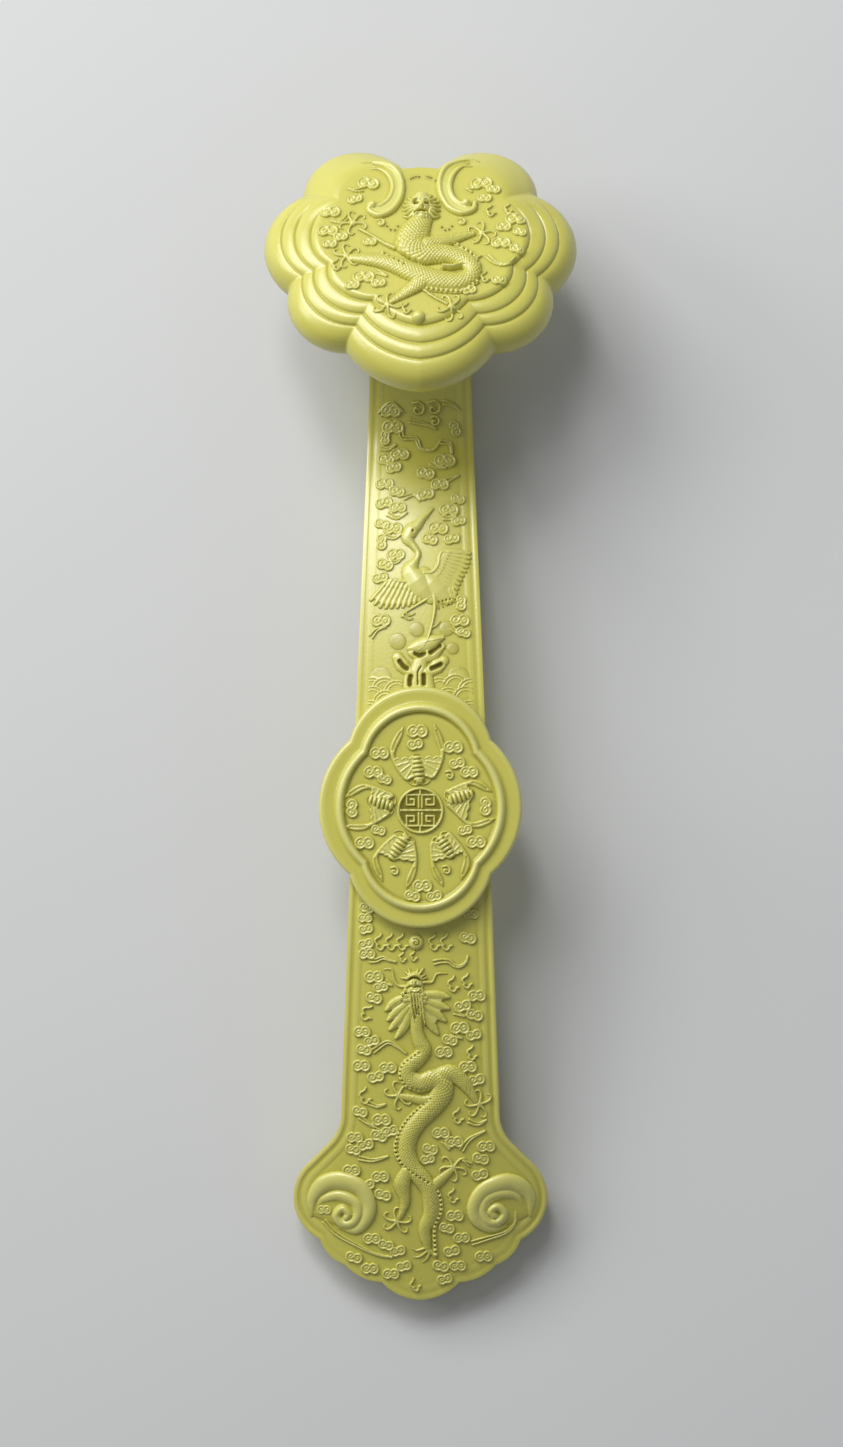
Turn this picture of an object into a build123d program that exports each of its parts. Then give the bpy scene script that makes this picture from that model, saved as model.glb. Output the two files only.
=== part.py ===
from build123d import *
from math import cos, degrees, radians, sin, sqrt
import os

# A ruyi sceptre of yellow-glazed porcelain: hollow press-moulded shells, luted together at their seams,
# with a lobed head on a bent neck and modelled reliefs laid on the face. Millimetres.
# It lies on its back, face up: +Z is up, +Y runs from the tail to the head, and the origin is on the
# table in the middle of the length.

# Side profile of the shaft, along the middle of its face
LENGTH = 422.0
SHAFT_THICKNESS = 16.0
ARCH_Y = -28.0
TAIL_ARCH_RADIUS = 580.0
NECK_ARCH_RADIUS = 349.0
NECK_SLOPE = radians(21.7)
NECK_RADIUS = 32.0
HEAD_TILT = radians(28.0)
GROUND_FLAT = 0.5

# Cross-section of the shaft
CROWN_RADIUS = 150.0
SEAM_DEPTH = 10.0
CLAY_WALL = 4.0
RIM_WIDTH = 2.2
GROOVE_WIDTH = 1.1
GROOVE_DEPTH = 0.8
FIELD_DROP = 0.4
SLAB_HALF_WIDTH = 50.0

# Plan of the shaft and of the lobed tail
NECK_WIDTH = 37.6
NECK_WIDTH_Y = 126.5
FLARE_WIDTH = 58.6
FLARE_Y = -147.5
FLARE_FILLET = 16.0
TAIL_LOBE_HALF_WIDTH = 46.9
TAIL_LOBE_LENGTH = 38.0
TAIL_SHOULDER = (41.0, 51.5)
TAIL_NOTCH_1 = (37.1, 22.6)
TAIL_NOTCH_2 = (27.9, 13.2)
TAIL_NOTCH_3 = (14.4, 6.8)
TAIL_LOBE_BULGE = 1.6

# Head: a seven-lobed cap of three stepped tiers and a panel, on a back plate
HEAD_WIDTH = 113.0
HEAD_HEIGHT = 100.0
HEAD_BULGE = 5.0
WALL_HEIGHT = 14.0
FOOT_INSET = 3.0
TIER_INSETS = (5.2, 10.8, 16.8)
SHOULDER_INSET = 0.8
SHOULDER_DROP = 4.0
HEAD_WALL = (
    (FOOT_INSET, 0.0),
    (0.0, HEAD_BULGE),
    (SHOULDER_INSET, WALL_HEIGHT - SHOULDER_DROP),
    (TIER_INSETS[0], WALL_HEIGHT),
)
HEAD_LOBES = (
    ((0.0, -1.0), (0.27, -0.9), (0.47, -0.667)),
    ((0.47, -0.667), (0.759, -0.521), (0.84, -0.176)),
    ((0.84, -0.176), (1.0, 0.209), (0.756, 0.61)),
    ((0.756, 0.61), (0.437, 1.0), (0.136, 0.808)),
    ((0.136, 0.808), (0.07, 0.78), (0.0, 0.771)),
)
TIER_HEIGHTS = (2.7, 2.0, 1.5)
TIER_ROUND = 1.3
TIER_ROLL = 0.4
PLATE_THICKNESS = 5.0
PLATE_INSET = 6.0
LUTE_GAP = 0.1
HEAD_CAVITY_INSET = 10.0
HEAD_CAVITY_TOP = 11.0

# Medallion: a four-lobed plaque with a raised bead
MEDALLION_HALF_WIDTH = 36.9
MEDALLION_HALF_HEIGHT = 43.8
MEDALLION_NOTCH = (25.8, 24.4)
MEDALLION_RISE = 3.6
MEDALLION_HANG = 3.4
MEDALLION_CHAMFER = 0.8
BEAD_INSET = 6.0
BEAD_WIDTH = 3.4
BEAD_HEIGHT = 1.3
ROUNDEL_RADIUS = 8.6
ROUNDEL_HEIGHT = 1.3
ROUNDEL_RIM = 1.1

# Reliefs laid on the face
RELIEF = 1.1
LOW_RELIEF = 0.7
BODY_SINK = 0.8
CLOUD_LOBE = 1.5
CLOUD_SPREAD = 1.2

# Medallion figures, in the plaque's plane: a bat looks along -Y, towards the roundel
BAT_RING = 15.6
BATS = (
    ("bat_top", 92.0),
    ("bat_left", 170.0),
    ("bat_lower_left", 239.0),
    ("bat_lower_right", 303.0),
    ("bat_right", 12.0),
)
BAT_BODY = (2.2, 4.6)
BAT_ROOT = (1.0, -3.6)
BAT_ELBOW = (8.4, 2.4)
BAT_TIP = (5.0, 10.8)
BAT_CROOK = (4.4, 4.6)
BAT_HIP = (0.8, 2.8)
MEDALLION_CLOUDS = (
    (-1.0, 28.5, 0), (-1.5, 24.0, 0), (-15.5, 20.5, 0), (12.5, 22.5, 0), (-18.0, 13.5, 0), (18.0, 13.5, 0),
    (-25.0, 0.5, 90), (24.5, 0.5, 90), (-20.5, -13.5, 0),
    (20.5, -13.0, 0), (-1.0, -28.5, 0), (4.5, -31.5, 0),
)

# Claws
CLAW_PAD = 1.1
CLAW_REACH = 3.6
CLAW_TOES = 5
CLAW_TOE_WIDTH = 0.8
CLAW_SPREAD = 240.0

# Figures on the head's panel: x, y, half width and height of each station
HEAD_DRAGON = (
    (-1.0, 7.4, 3.6, 2.2), (-3.0, 1.9, 5.0, 3.2), (3.5, -1.9, 4.6, 3.2), (11.0, -2.7, 3.8, 3.0),
    (17.5, -5.3, 3.2, 2.6), (20.0, -9.6, 3.0, 2.4), (15.5, -13.7, 3.2, 2.4), (7.0, -14.7, 3.4, 2.6),
    (-1.0, -13.1, 3.4, 2.6), (-8.0, -9.7, 3.2, 2.4), (-14.0, -6.3, 2.8, 2.0), (-21.0, -4.7, 1.8, 1.2),
)
HEAD_MASK = ((0.4, 8.4, 3.0, 2.0), (0.4, 12.4, 4.8, 4.0), (0.4, 17.9, 4.8, 4.0), (0.4, 22.4, 2.8, 1.6))
HEAD_LEGS = (
    ((7.5, 2.1, 2.2, 1.8), (13.0, 4.1, 1.8, 1.5), (20.5, 6.1, 1.1, 0.9)),
    ((-8.0, 0.1, 1.6, 1.2), (-14.0, 3.5, 1.1, 0.9), (-21.5, 7.7, 0.9, 0.7)),
    ((0.5, -15.7, 2.2, 1.6), (-5.0, -19.1, 1.6, 1.2), (-9.5, -21.9, 1.1, 0.9)),
    ((1.5, -18.7, 0.9, 0.7), (5.0, -20.9, 0.9, 0.7), (8.5, -22.7, 0.8, 0.6)),
)
HEAD_CLAWS = ((21.5, 6.5, 0), (-23.0, 9.3, 120), (-10.5, -22.5, 230), (9.6, -23.5, 300), (-24.0, -4.1, 180))

# The shaft's dragon, in plan: x, y, half width and height of each station
DRAGON_NECK = (
    (-1.6, -96.6, 1.9, 1.5), (-1.5, -100.8, 2.1, 1.7), (-1.5, -105.0, 2.2, 1.8), (-1.3, -109.1, 2.4, 2.0),
    (-0.2, -113.1, 2.5, 2.1), (0.2, -117.2, 2.6, 2.2), (-2.6, -120.8, 2.6, 2.2),
    (-4.4, -124.4, 2.6, 2.2), (-2.2, -127.9, 2.7, 2.3),
    (1.8, -128.9, 3.0, 2.4), (5.4, -128.3, 3.3, 2.5),
)
DRAGON_BODY = (
    (9.0, -124.8, 3.0, 2.0), (8.2, -130.3, 3.6, 2.6), (5.2, -136.4, 3.4, 2.5), (0.6, -142.1, 3.3, 2.4),
    (-2.8, -148.2, 3.2, 2.4), (-3.9, -154.8, 3.2, 2.4), (-1.6, -161.1, 3.2, 2.3), (2.4, -166.1, 3.0, 2.2),
    (4.6, -171.9, 2.8, 2.0), (4.2, -178.5, 2.6, 1.8), (2.2, -184.1, 2.2, 1.5), (3.0, -191.0, 1.2, 0.9),
)
DRAGON_HEAD = (
    (-1.6, -87.1, 2.6, 1.6), (-1.8, -91.5, 3.8, 2.8), (-1.8, -95.5, 3.4, 2.6), (-1.6, -98.8, 2.9, 2.3),
)
DRAGON_LEGS = (
    ((10.5, -124.7, 2.4, 1.9), (15.5, -128.8, 2.3, 1.7), (20.0, -134.4, 1.4, 1.1)),
    ((1.5, -134.9, 1.7, 1.3), (-2.5, -135.8, 1.7, 1.3), (-6.8, -135.6, 1.3, 1.0)),
    ((5.0, -167.6, 1.8, 1.4), (9.0, -164.6, 1.6, 1.2), (12.5, -162.0, 1.2, 1.0)),
    ((-4.2, -163.5, 2.6, 2.0), (-5.0, -169.7, 2.9, 2.1), (-5.6, -175.9, 1.9, 1.4), (-7.0, -181.1, 1.1, 0.9)),
)
DRAGON_CLAWS = ((20.6, -135.8, 300), (-8.0, -135.4, 180), (13.6, -161.1, 40), (-7.6, -182.4, 250))
MANE_LEAVES = (
    ((0.4, -98.4), (11.0, -97.5)), ((0.6, -100.8), (11.0, -102.0)), ((0.6, -103.2), (9.0, -106.0)),
    ((0.6, -105.6), (6.5, -111.5)), ((-3.4, -99.6), (-13.0, -103.0)), ((-3.4, -102.0), (-12.0, -106.4)),
    ((-3.4, -104.4), (-11.5, -110.2)), ((-3.2, -106.8), (-9.5, -114.0)),
)
MANE_BOW = 1.1
PEARL_PLACE = (-1.5, -77.1)
PEARL_RADIUS = 2.8
PEARL_FLAMES = ((-14.8, -77.1), (-10.8, -77.3), (-7.0, -77.1), (4.0, -77.3), (8.6, -77.3))
FLAME_SIZE = (1.3, 1.9)

# The crane, its rock and the waves, in plan
CRANE_BODY = ((-2.2, 62.4, 1.6, 1.2), (-1.8, 58.8, 3.8, 2.2), (-0.4, 54.8, 4.4, 2.4), (2.0, 50.9, 2.6, 1.6))
CRANE_NECK = (
    (4.4, 81.0, 0.5, 0.4), (1.4, 77.8, 1.0, 0.8), (-1.6, 74.3, 1.9, 1.4), (-3.7, 70.7, 2.0, 1.5),
    (-3.4, 67.2, 1.4, 1.2), (-1.9, 64.6, 1.2, 1.0), (-2.2, 61.8, 1.3, 1.0),
)
CRANE_WING_RIGHT = (
    (1.5, 57.8), (6.6, 60.9), (7.2, 65.0), (16.6, 65.4),
    (16.8, 63.2), (15.6, 62.6), (16.4, 60.3), (14.9, 59.7),
    (15.4, 57.7), (13.9, 57.1), (14.4, 54.9), (12.9, 54.3),
    (13.3, 51.9), (11.7, 51.3), (12.4, 47.9), (3.0, 49.3),
)
CRANE_WING_LEFT = (
    (-1.0, 55.8), (-9.6, 55.9), (-16.8, 48.9), (-14.6, 48.7), (-15.6, 46.1), (-13.0, 47.1), (-13.2, 44.9),
    (-10.8, 46.7), (-10.6, 45.1), (-8.4, 47.1), (-8.0, 45.9), (-6.0, 47.7), (-5.6, 46.3), (0.4, 48.7),
)
CRANE_LEGS = (
    ((3.2, 47.9, 0.9, 0.8), (-1.0, 45.3, 0.7, 0.6), (-5.6, 42.4, 0.7, 0.6)),
    ((5.0, 46.7, 0.8, 0.7), (4.2, 40.7, 0.7, 0.6), (2.2, 34.6, 0.7, 0.6)),
)
ROCK_PLATFORM = (2.0, 31.8, 6.8, 2.0)
ROCK_LOBES = ((-5.0, 25.9, 3.6), (5.2, 25.5, 3.6), (0.2, 27.5, 3.6), (-1.6, 21.1, 3.0))
ROCK_HOLES = ((-5.6, 25.1, 1.3), (5.6, 24.5, 1.3), (-0.4, 27.7, 1.0))
ROCK_DISCS = ((-1.6, 37.8, 2.4), (9.2, 37.2, 2.4), (-8.2, 32.6, 2.8))
WAVE_CENTRES = ((-12.0, 14.3), (12.0, 14.3), (-18.5, 10.3), (18.5, 10.3))
WAVE_RADII = (2.0, 3.8, 5.6)
WAVE_WIDTH = 0.9

# Cloud heads: x, y and turn
UPPER_CLOUDS = (
    (-10.0, 111.3, 0), (-0.5, 116.9, 0), (5.5, 113.3, 0), (-8.0, 102.2, 0), (-14.0, 99.1, 0), (9.0, 99.1, 0),
    (2.0, 94.5, 0), (7.0, 89.8, 0), (2.0, 86.3, 0), (-12.5, 90.9, 0), (-7.5, 87.3, 0), (-13.5, 83.2, 0),
    (10.5, 81.1, 0), (-10.0, 74.0, 0), (-13.5, 69.4, 0), (6.5, 74.0, 0), (11.0, 69.4, 0), (-9.0, 64.4, 0),
    (-13.5, 60.3, 0), (-13.5, 39.7, 0), (13.5, 40.7, 0),
)
LOWER_CLOUDS = (
    (17.5, -76.1, 0), (-20.0, -79.6, 0), (-4.5, -83.6, 0),
    (-16.0, -89.1, 0), (-12.5, -93.6, 0), (12.0, -91.1, 0),
    (20.0, -96.6, 0), (15.5, -100.1, 0), (-19.5, -103.6, 90), (19.0, -105.6, 0), (14.5, -109.1, 0),
    (-20.5, -110.1, 0), (-17.0, -114.7, 0), (8.5, -117.7, 0), (18.5, -117.7, 90), (-21.0, -122.7, 0),
    (-16.0, -126.8, 0), (-12.0, -122.7, 0), (19.5, -125.8, 0), (-20.0, -134.4, 90), (13.5, -141.0, 90),
    (-22.5, -140.0, 0), (-13.5, -142.0, 0), (-10.5, -146.6, 0), (8.0, -147.1, 0), (13.5, -150.7, 0),
    (-21.5, -150.2, 0), (22.5, -152.2, 0), (22.5, -158.4, 0), (-22.5, -159.4, 0), (-13.0, -163.5, 0),
    (12.5, -170.7, 90), (-13.0, -170.7, 0),
)
TAIL_CLOUDS = (
    (-18.0, -188.9, 0), (-11.0, -188.4, 0), (-23.5, -194.1, 30), (-17.0, -198.3, 0), (-8.5, -198.9, 0),
    (10.5, -180.6, 0), (14.5, -187.9, 0), (9.5, -192.0, 0), (22.5, -194.7, -30), (6.5, -199.4, 0),
    (14.5, -198.3, 0),
)
HEAD_CLOUDS = (
    (-20.5, 24.4, 0), (-31.5, 13.4, 0), (-32.0, 7.4, 0), (-31.5, 1.9, 0), (-13.0, 8.9, 0), (-17.5, 0.9, 0),
    (-30.5, -8.1, 60), (-20.5, -13.1, 0), (22.0, 23.9, 0), (27.0, 15.9, 0), (32.0, 9.4, 0), (31.0, 1.4, 0),
    (28.5, -5.6, 0), (25.0, -12.6, 0), (17.0, -19.1, 0), (-4.0, -25.1, 0), (14.5, 9.4, 0),
)
HEAD_PEARL = (-0.7, -29.3)
HEAD_PEARL_RADIUS = 2.4
HEAD_SCROLL = (
    (17.0, 31.0, 1.3, 1.1), (11.0, 29.0, 1.7, 1.4), (7.4, 24.0, 1.8, 1.5), (8.6, 18.2, 1.8, 1.5),
    (13.4, 15.2, 1.7, 1.4), (17.6, 17.4, 1.5, 1.3), (18.0, 21.0, 1.4, 1.2),
)

# Tail volutes: a ridge that winds in from the rim of each round lobe
VOLUTE_PLACE = (29.0, -175.0)
VOLUTE_RADIUS = 10.0
VOLUTE_PITCH = 4.6
VOLUTE_TURNS = 1.7
VOLUTE_STEPS = 14
VOLUTE_ROLL = (1.9, 1.6)

# Where the side profile's arcs meet
STEM_HEADING = radians(90.0) - HEAD_TILT
ARCH_Z = SHAFT_THICKNESS - GROUND_FLAT + (NECK_ARCH_RADIUS + NECK_RADIUS) * (1 - cos(NECK_SLOPE))
TAIL_CENTRE = Vector(0, ARCH_Y, ARCH_Z - TAIL_ARCH_RADIUS)
ARCH_CENTRE = Vector(0, ARCH_Y, ARCH_Z - NECK_ARCH_RADIUS)
NECK_CENTRE = ARCH_CENTRE + Vector(0, sin(NECK_SLOPE), cos(NECK_SLOPE)) * (NECK_ARCH_RADIUS + NECK_RADIUS)
NECK_START = ARCH_CENTRE + Vector(0, sin(NECK_SLOPE), cos(NECK_SLOPE)) * NECK_ARCH_RADIUS
NECK_END = NECK_CENTRE + Vector(0, sin(STEM_HEADING), -cos(STEM_HEADING)) * NECK_RADIUS
HEAD_NORMAL = Vector(0, sin(HEAD_TILT), cos(HEAD_TILT))

# The back of the head: its far edge ends the length, and it crosses the stem square
STEM_LENGTH = 23.2
SHOULDER_SHARE = 1 - SHOULDER_INSET / (HEAD_WIDTH / 2)
SHOULDER_HEIGHT = WALL_HEIGHT - SHOULDER_DROP
HEAD_REACH = HEAD_HEIGHT / 2 * SHOULDER_SHARE * cos(HEAD_TILT) + SHOULDER_HEIGHT * sin(HEAD_TILT)
HEAD_Y = LENGTH / 2 - HEAD_REACH
HEAD_Z = NECK_END.Z + (STEM_LENGTH - (HEAD_Y - NECK_END.Y) * sin(HEAD_TILT)) / cos(HEAD_TILT)
HEAD_PLANE = Plane(origin=(0, HEAD_Y, HEAD_Z), x_dir=(1, 0, 0), z_dir=tuple(HEAD_NORMAL))
PANEL_TOP = WALL_HEIGHT + sum(TIER_HEIGHTS)
PANEL_PLANE = HEAD_PLANE.offset(PANEL_TOP)
PLAQUE_PLANE = Plane((0, ARCH_Y, ARCH_Z + MEDALLION_RISE))
TAIL_Y = -LENGTH / 2
SKY = ARCH_Z * 4

os.makedirs("parts", exist_ok=True)


def section_plane(point, heading):
    """Plane square to the side profile at a point, its Y along the face's normal."""
    return Plane(origin=tuple(point), x_dir=(1, 0, 0), z_dir=(0, -cos(heading), -sin(heading)))


def crown_drop(x):
    """How far the crowned face lies below its middle line at x."""
    return CROWN_RADIUS - sqrt(CROWN_RADIUS**2 - x**2)


def level_line(height, flat):
    """One level of the cross-section: a straight line, or an arc that falls away at both sides."""
    if flat:
        return Line((-SLAB_HALF_WIDTH, height), (SLAB_HALF_WIDTH, height))
    side = height - crown_drop(SLAB_HALF_WIDTH)
    return ThreePointArc((-SLAB_HALF_WIDTH, side), (0, height), (SLAB_HALF_WIDTH, side))


def layer_section(low, high, low_flat, high_flat):
    """Cross-section between two heights over the face, each level crowned or flat."""
    with BuildSketch() as section:
        with BuildLine():
            bottom = level_line(low, low_flat)
            top = level_line(high, high_flat)
            Line(bottom @ 0, top @ 0)
            Line(bottom @ 1, top @ 1)
        make_face()
    return section.sketch


def bent_layer(low, high, low_flat=False, high_flat=False):
    """Solid between two heights over the face, carried along the whole side profile."""
    axis_right = (1, 0, 0)
    axis_left = (-1, 0, 0)
    tail_swing = degrees((ARCH_Y - TAIL_Y + SHAFT_THICKNESS) / TAIL_ARCH_RADIUS)
    section = layer_section(low, high, low_flat, high_flat)
    with BuildPart() as layer:
        with BuildSketch(section_plane(Vector(0, ARCH_Y, ARCH_Z), 0)):
            add(section)
        revolve(axis=Axis(tuple(TAIL_CENTRE), axis_right), revolution_arc=tail_swing)
        with BuildSketch(section_plane(Vector(0, ARCH_Y, ARCH_Z), 0)):
            add(section)
        revolve(axis=Axis(tuple(ARCH_CENTRE), axis_left), revolution_arc=degrees(NECK_SLOPE))
        with BuildSketch(section_plane(NECK_START, -NECK_SLOPE)):
            add(section)
        neck_swing = degrees(NECK_SLOPE + STEM_HEADING)
        revolve(axis=Axis(tuple(NECK_CENTRE), axis_right), revolution_arc=neck_swing)
        with BuildSketch(section_plane(NECK_END, STEM_HEADING)):
            add(section)
        extrude(amount=-(STEM_LENGTH + PLATE_THICKNESS))
    return layer.part


def shaft_half_width(y):
    """Half width of the tapered shaft at y."""
    taper = (FLARE_WIDTH - NECK_WIDTH) / 2 / (NECK_WIDTH_Y - FLARE_Y)
    return FLARE_WIDTH / 2 - (y - FLARE_Y) * taper


def plan_outline(inset=0.0):
    """Plan of the shaft and tail as a face: tapered sides, a shoulder, volute lobes and small lobes."""
    top_y = LENGTH / 2
    with BuildSketch() as plan:
        with BuildLine():
            tip = (0, TAIL_Y)
            notch_3 = (TAIL_NOTCH_3[0], TAIL_Y + TAIL_NOTCH_3[1])
            notch_2 = (TAIL_NOTCH_2[0], TAIL_Y + TAIL_NOTCH_2[1])
            notch_1 = (TAIL_NOTCH_1[0], TAIL_Y + TAIL_NOTCH_1[1])
            shoulder = (TAIL_SHOULDER[0], TAIL_Y + TAIL_SHOULDER[1])
            corner = (shaft_half_width(FLARE_Y), FLARE_Y)
            SagittaArc(tip, notch_3, -TAIL_LOBE_BULGE)
            SagittaArc(notch_3, notch_2, -TAIL_LOBE_BULGE)
            SagittaArc(notch_2, notch_1, -TAIL_LOBE_BULGE)
            ThreePointArc(notch_1, (TAIL_LOBE_HALF_WIDTH, TAIL_Y + TAIL_LOBE_LENGTH), shoulder)
            Line(shoulder, corner)
            Line(corner, (shaft_half_width(top_y), top_y))
            Line((shaft_half_width(top_y), top_y), (0, top_y))
            mirror(about=Plane.YZ)
        make_face()
        fillet(plan.vertices().filter_by_position(Axis.Y, FLARE_Y - 1, FLARE_Y + 1), FLARE_FILLET)
        if inset:
            offset(amount=-inset, kind=Kind.INTERSECTION, mode=Mode.REPLACE)
    return plan.sketch


def plan_prism(inset=0.0):
    """The plan, as a tall upright prism."""
    with BuildPart() as prism:
        with BuildSketch(Plane.XY.offset(-SHAFT_THICKNESS)):
            add(plan_outline(inset))
        extrude(amount=SKY)
    return prism.part


def cavity_prism():
    """Plan of the hollow inside the shaft, a wall in from its sides, as an upright prism."""
    top_y = LENGTH / 2
    low_y = TAIL_Y + TAIL_NOTCH_1[1]
    with BuildPart() as prism:
        with BuildSketch(Plane.XY.offset(-SHAFT_THICKNESS)):
            with BuildLine():
                top = (shaft_half_width(top_y) - CLAY_WALL, top_y)
                side = (shaft_half_width(FLARE_Y) - CLAY_WALL, FLARE_Y)
                foot = (TAIL_NOTCH_2[0] - CLAY_WALL, low_y)
                Polyline((0, low_y), foot, side, top, (0, top_y))
                mirror(about=Plane.YZ)
            make_face()
        extrude(amount=SKY)
    return prism.part


def table_block():
    """Everything under the table top, to grind the two rest flats."""
    with BuildPart() as block:
        with BuildSketch(Plane.XY):
            Rectangle(HEAD_WIDTH, LENGTH * 2)
        extrude(amount=-SHAFT_THICKNESS)
    return block.part


outer_prism = plan_prism()
hollow_prism = cavity_prism()

# What is cut from the front half: the groove behind the rim, the sunk field and the hollow
with BuildPart() as groove:
    add(bent_layer(-GROOVE_DEPTH, RELIEF))
    add(plan_prism(RIM_WIDTH), mode=Mode.INTERSECT)
    add(plan_prism(RIM_WIDTH + GROOVE_WIDTH), mode=Mode.SUBTRACT)
with BuildPart() as field:
    add(bent_layer(-FIELD_DROP, RELIEF))
    add(plan_prism(RIM_WIDTH + 2 * GROOVE_WIDTH), mode=Mode.INTERSECT)
HOLLOW_TOP = CLAY_WALL + crown_drop(FLARE_WIDTH / 2 - CLAY_WALL)
with BuildPart() as front_hollow:
    add(bent_layer(-SEAM_DEPTH, -HOLLOW_TOP, low_flat=True, high_flat=True))
    add(hollow_prism, mode=Mode.INTERSECT)
with BuildPart() as back_hollow:
    add(bent_layer(CLAY_WALL - SHAFT_THICKNESS, -SEAM_DEPTH, low_flat=True, high_flat=True))
    add(hollow_prism, mode=Mode.INTERSECT)

# Front half of the shaft, tail and neck
with BuildPart() as shaft_front_shell:
    add(bent_layer(-SEAM_DEPTH, 0, low_flat=True))
    add(outer_prism, mode=Mode.INTERSECT)
    add([groove.part, field.part, front_hollow.part], mode=Mode.SUBTRACT)
shaft_front_shell.part.label = "shaft_front_shell"
export_step(shaft_front_shell.part, "parts/shaft_front_shell.step")

# Back half, luted to the front along the seam and ground flat where it rests
with BuildPart() as shaft_back_shell:
    add(bent_layer(-SHAFT_THICKNESS, -SEAM_DEPTH, low_flat=True, high_flat=True))
    add(outer_prism, mode=Mode.INTERSECT)
    add([back_hollow.part, table_block()], mode=Mode.SUBTRACT)
shaft_back_shell.part.label = "shaft_back_shell"
export_step(shaft_back_shell.part, "parts/shaft_back_shell.step")


def head_sketch(inset):
    """Seven-lobed outline of the head, drawn in from its widest by an inset that keeps its proportions."""
    half_width = HEAD_WIDTH / 2 - inset
    half_height = HEAD_HEIGHT / 2 * half_width / (HEAD_WIDTH / 2)
    size = Vector(half_width, half_height)
    with BuildSketch() as outline:
        with BuildLine():
            for lobe in HEAD_LOBES:
                start, middle, end = [(x * size.X, y * size.Y) for x, y in lobe]
                ThreePointArc(start, middle, end)
            mirror(about=Plane.YZ)
        make_face()
    return outline.sketch


def head_layer(inset, low, high):
    """A plain slab of the head between two heights over its back."""
    with BuildPart() as slab:
        with BuildSketch(HEAD_PLANE.offset(low)):
            add(head_sketch(inset))
        extrude(amount=high - low)
    return slab.part


def rounded_tier(inset, low, high):
    """One moulded tier: its outline rises from low and rolls over in a quarter round up to high."""
    roll = ((0.0, TIER_ROUND), (TIER_ROLL, TIER_ROLL), (TIER_ROUND, 0.0))
    with BuildPart() as tier:
        add(head_layer(inset, low, high - TIER_ROUND))
        for inward, below in roll:
            with BuildSketch(HEAD_PLANE.offset(high - below)):
                add(head_sketch(inset + inward))
        loft()
    return tier.part


# The head's cap: a bulging wall, three stepped tiers and the panel, hollow behind
with BuildPart() as head_cap:
    for inset, level in HEAD_WALL:
        with BuildSketch(HEAD_PLANE.offset(level)):
            add(head_sketch(inset))
    loft()
    level = WALL_HEIGHT
    for inset, height in zip(TIER_INSETS, TIER_HEIGHTS):
        add(rounded_tier(inset, level - TIER_ROUND, level + height))
        level += height
    add(head_layer(PLATE_INSET, 0, PLATE_THICKNESS), mode=Mode.SUBTRACT)
    add(head_layer(HEAD_CAVITY_INSET, PLATE_THICKNESS, HEAD_CAVITY_TOP), mode=Mode.SUBTRACT)
head_cap.part.label = "head_cap"
export_step(head_cap.part, "parts/head_cap.step")

# The head's back plate, let into the cap, with a socket that the neck passes through
with BuildPart() as stem_envelope:
    add(bent_layer(-SHAFT_THICKNESS - LUTE_GAP, LUTE_GAP, low_flat=True))
    add(plan_prism(-LUTE_GAP), mode=Mode.INTERSECT)
with BuildPart() as head_back_plate:
    add(head_layer(PLATE_INSET + LUTE_GAP, 0, PLATE_THICKNESS))
    add(stem_envelope.part, mode=Mode.SUBTRACT)
head_back_plate.part.label = "head_back_plate"
export_step(head_back_plate.part, "parts/head_back_plate.step")


def quatrefoil(inset):
    """Four-lobed outline of the medallion, drawn in by an inset that keeps its proportions."""
    share_x = 1 - inset / MEDALLION_HALF_WIDTH
    share_y = 1 - inset / MEDALLION_HALF_HEIGHT
    notch_x, notch_y = MEDALLION_NOTCH[0] * share_x, MEDALLION_NOTCH[1] * share_y
    with BuildSketch() as outline:
        with BuildLine():
            ThreePointArc((-notch_x, notch_y), (0, MEDALLION_HALF_HEIGHT - inset), (notch_x, notch_y))
            ThreePointArc((notch_x, notch_y), (MEDALLION_HALF_WIDTH - inset, 0), (notch_x, -notch_y))
            ThreePointArc((notch_x, -notch_y), (0, inset - MEDALLION_HALF_HEIGHT), (-notch_x, -notch_y))
            ThreePointArc((-notch_x, -notch_y), (inset - MEDALLION_HALF_WIDTH, 0), (-notch_x, notch_y))
        make_face()
    return outline.sketch


# The medallion: a plaque scribed to the shaft's face, with a raised bead round its field
with BuildPart() as medallion_plaque:
    with BuildSketch(PLAQUE_PLANE):
        add(quatrefoil(0))
    extrude(amount=-(MEDALLION_RISE + MEDALLION_HANG))
    edge = medallion_plaque.faces().sort_by(Axis.Z)[-1].outer_wire().edges()
    chamfer(edge, MEDALLION_CHAMFER)
    with BuildSketch(PLAQUE_PLANE):
        add(quatrefoil(BEAD_INSET))
        add(quatrefoil(BEAD_INSET + BEAD_WIDTH), mode=Mode.SUBTRACT)
    extrude(amount=BEAD_HEIGHT)
    bead_edges = medallion_plaque.faces().sort_by(Axis.Z)[-1].edges()
    chamfer(bead_edges, BEAD_WIDTH / 4)
    add(bent_layer(-SHAFT_THICKNESS, 0, low_flat=True), mode=Mode.SUBTRACT)
medallion_plaque.part.label = "medallion_plaque"
export_step(medallion_plaque.part, "parts/medallion_plaque.step")

# A round boss in the middle of the medallion, with a raised rim
with BuildPart() as fret_roundel:
    with BuildSketch(PLAQUE_PLANE):
        Circle(ROUNDEL_RADIUS)
    extrude(amount=ROUNDEL_HEIGHT)
    with BuildSketch(PLAQUE_PLANE.offset(ROUNDEL_HEIGHT)):
        Circle(ROUNDEL_RADIUS - ROUNDEL_RIM)
    extrude(amount=-ROUNDEL_HEIGHT / 2, mode=Mode.SUBTRACT)
fret_roundel.part.label = "fret_roundel"
export_step(fret_roundel.part, "parts/fret_roundel.step")

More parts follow.
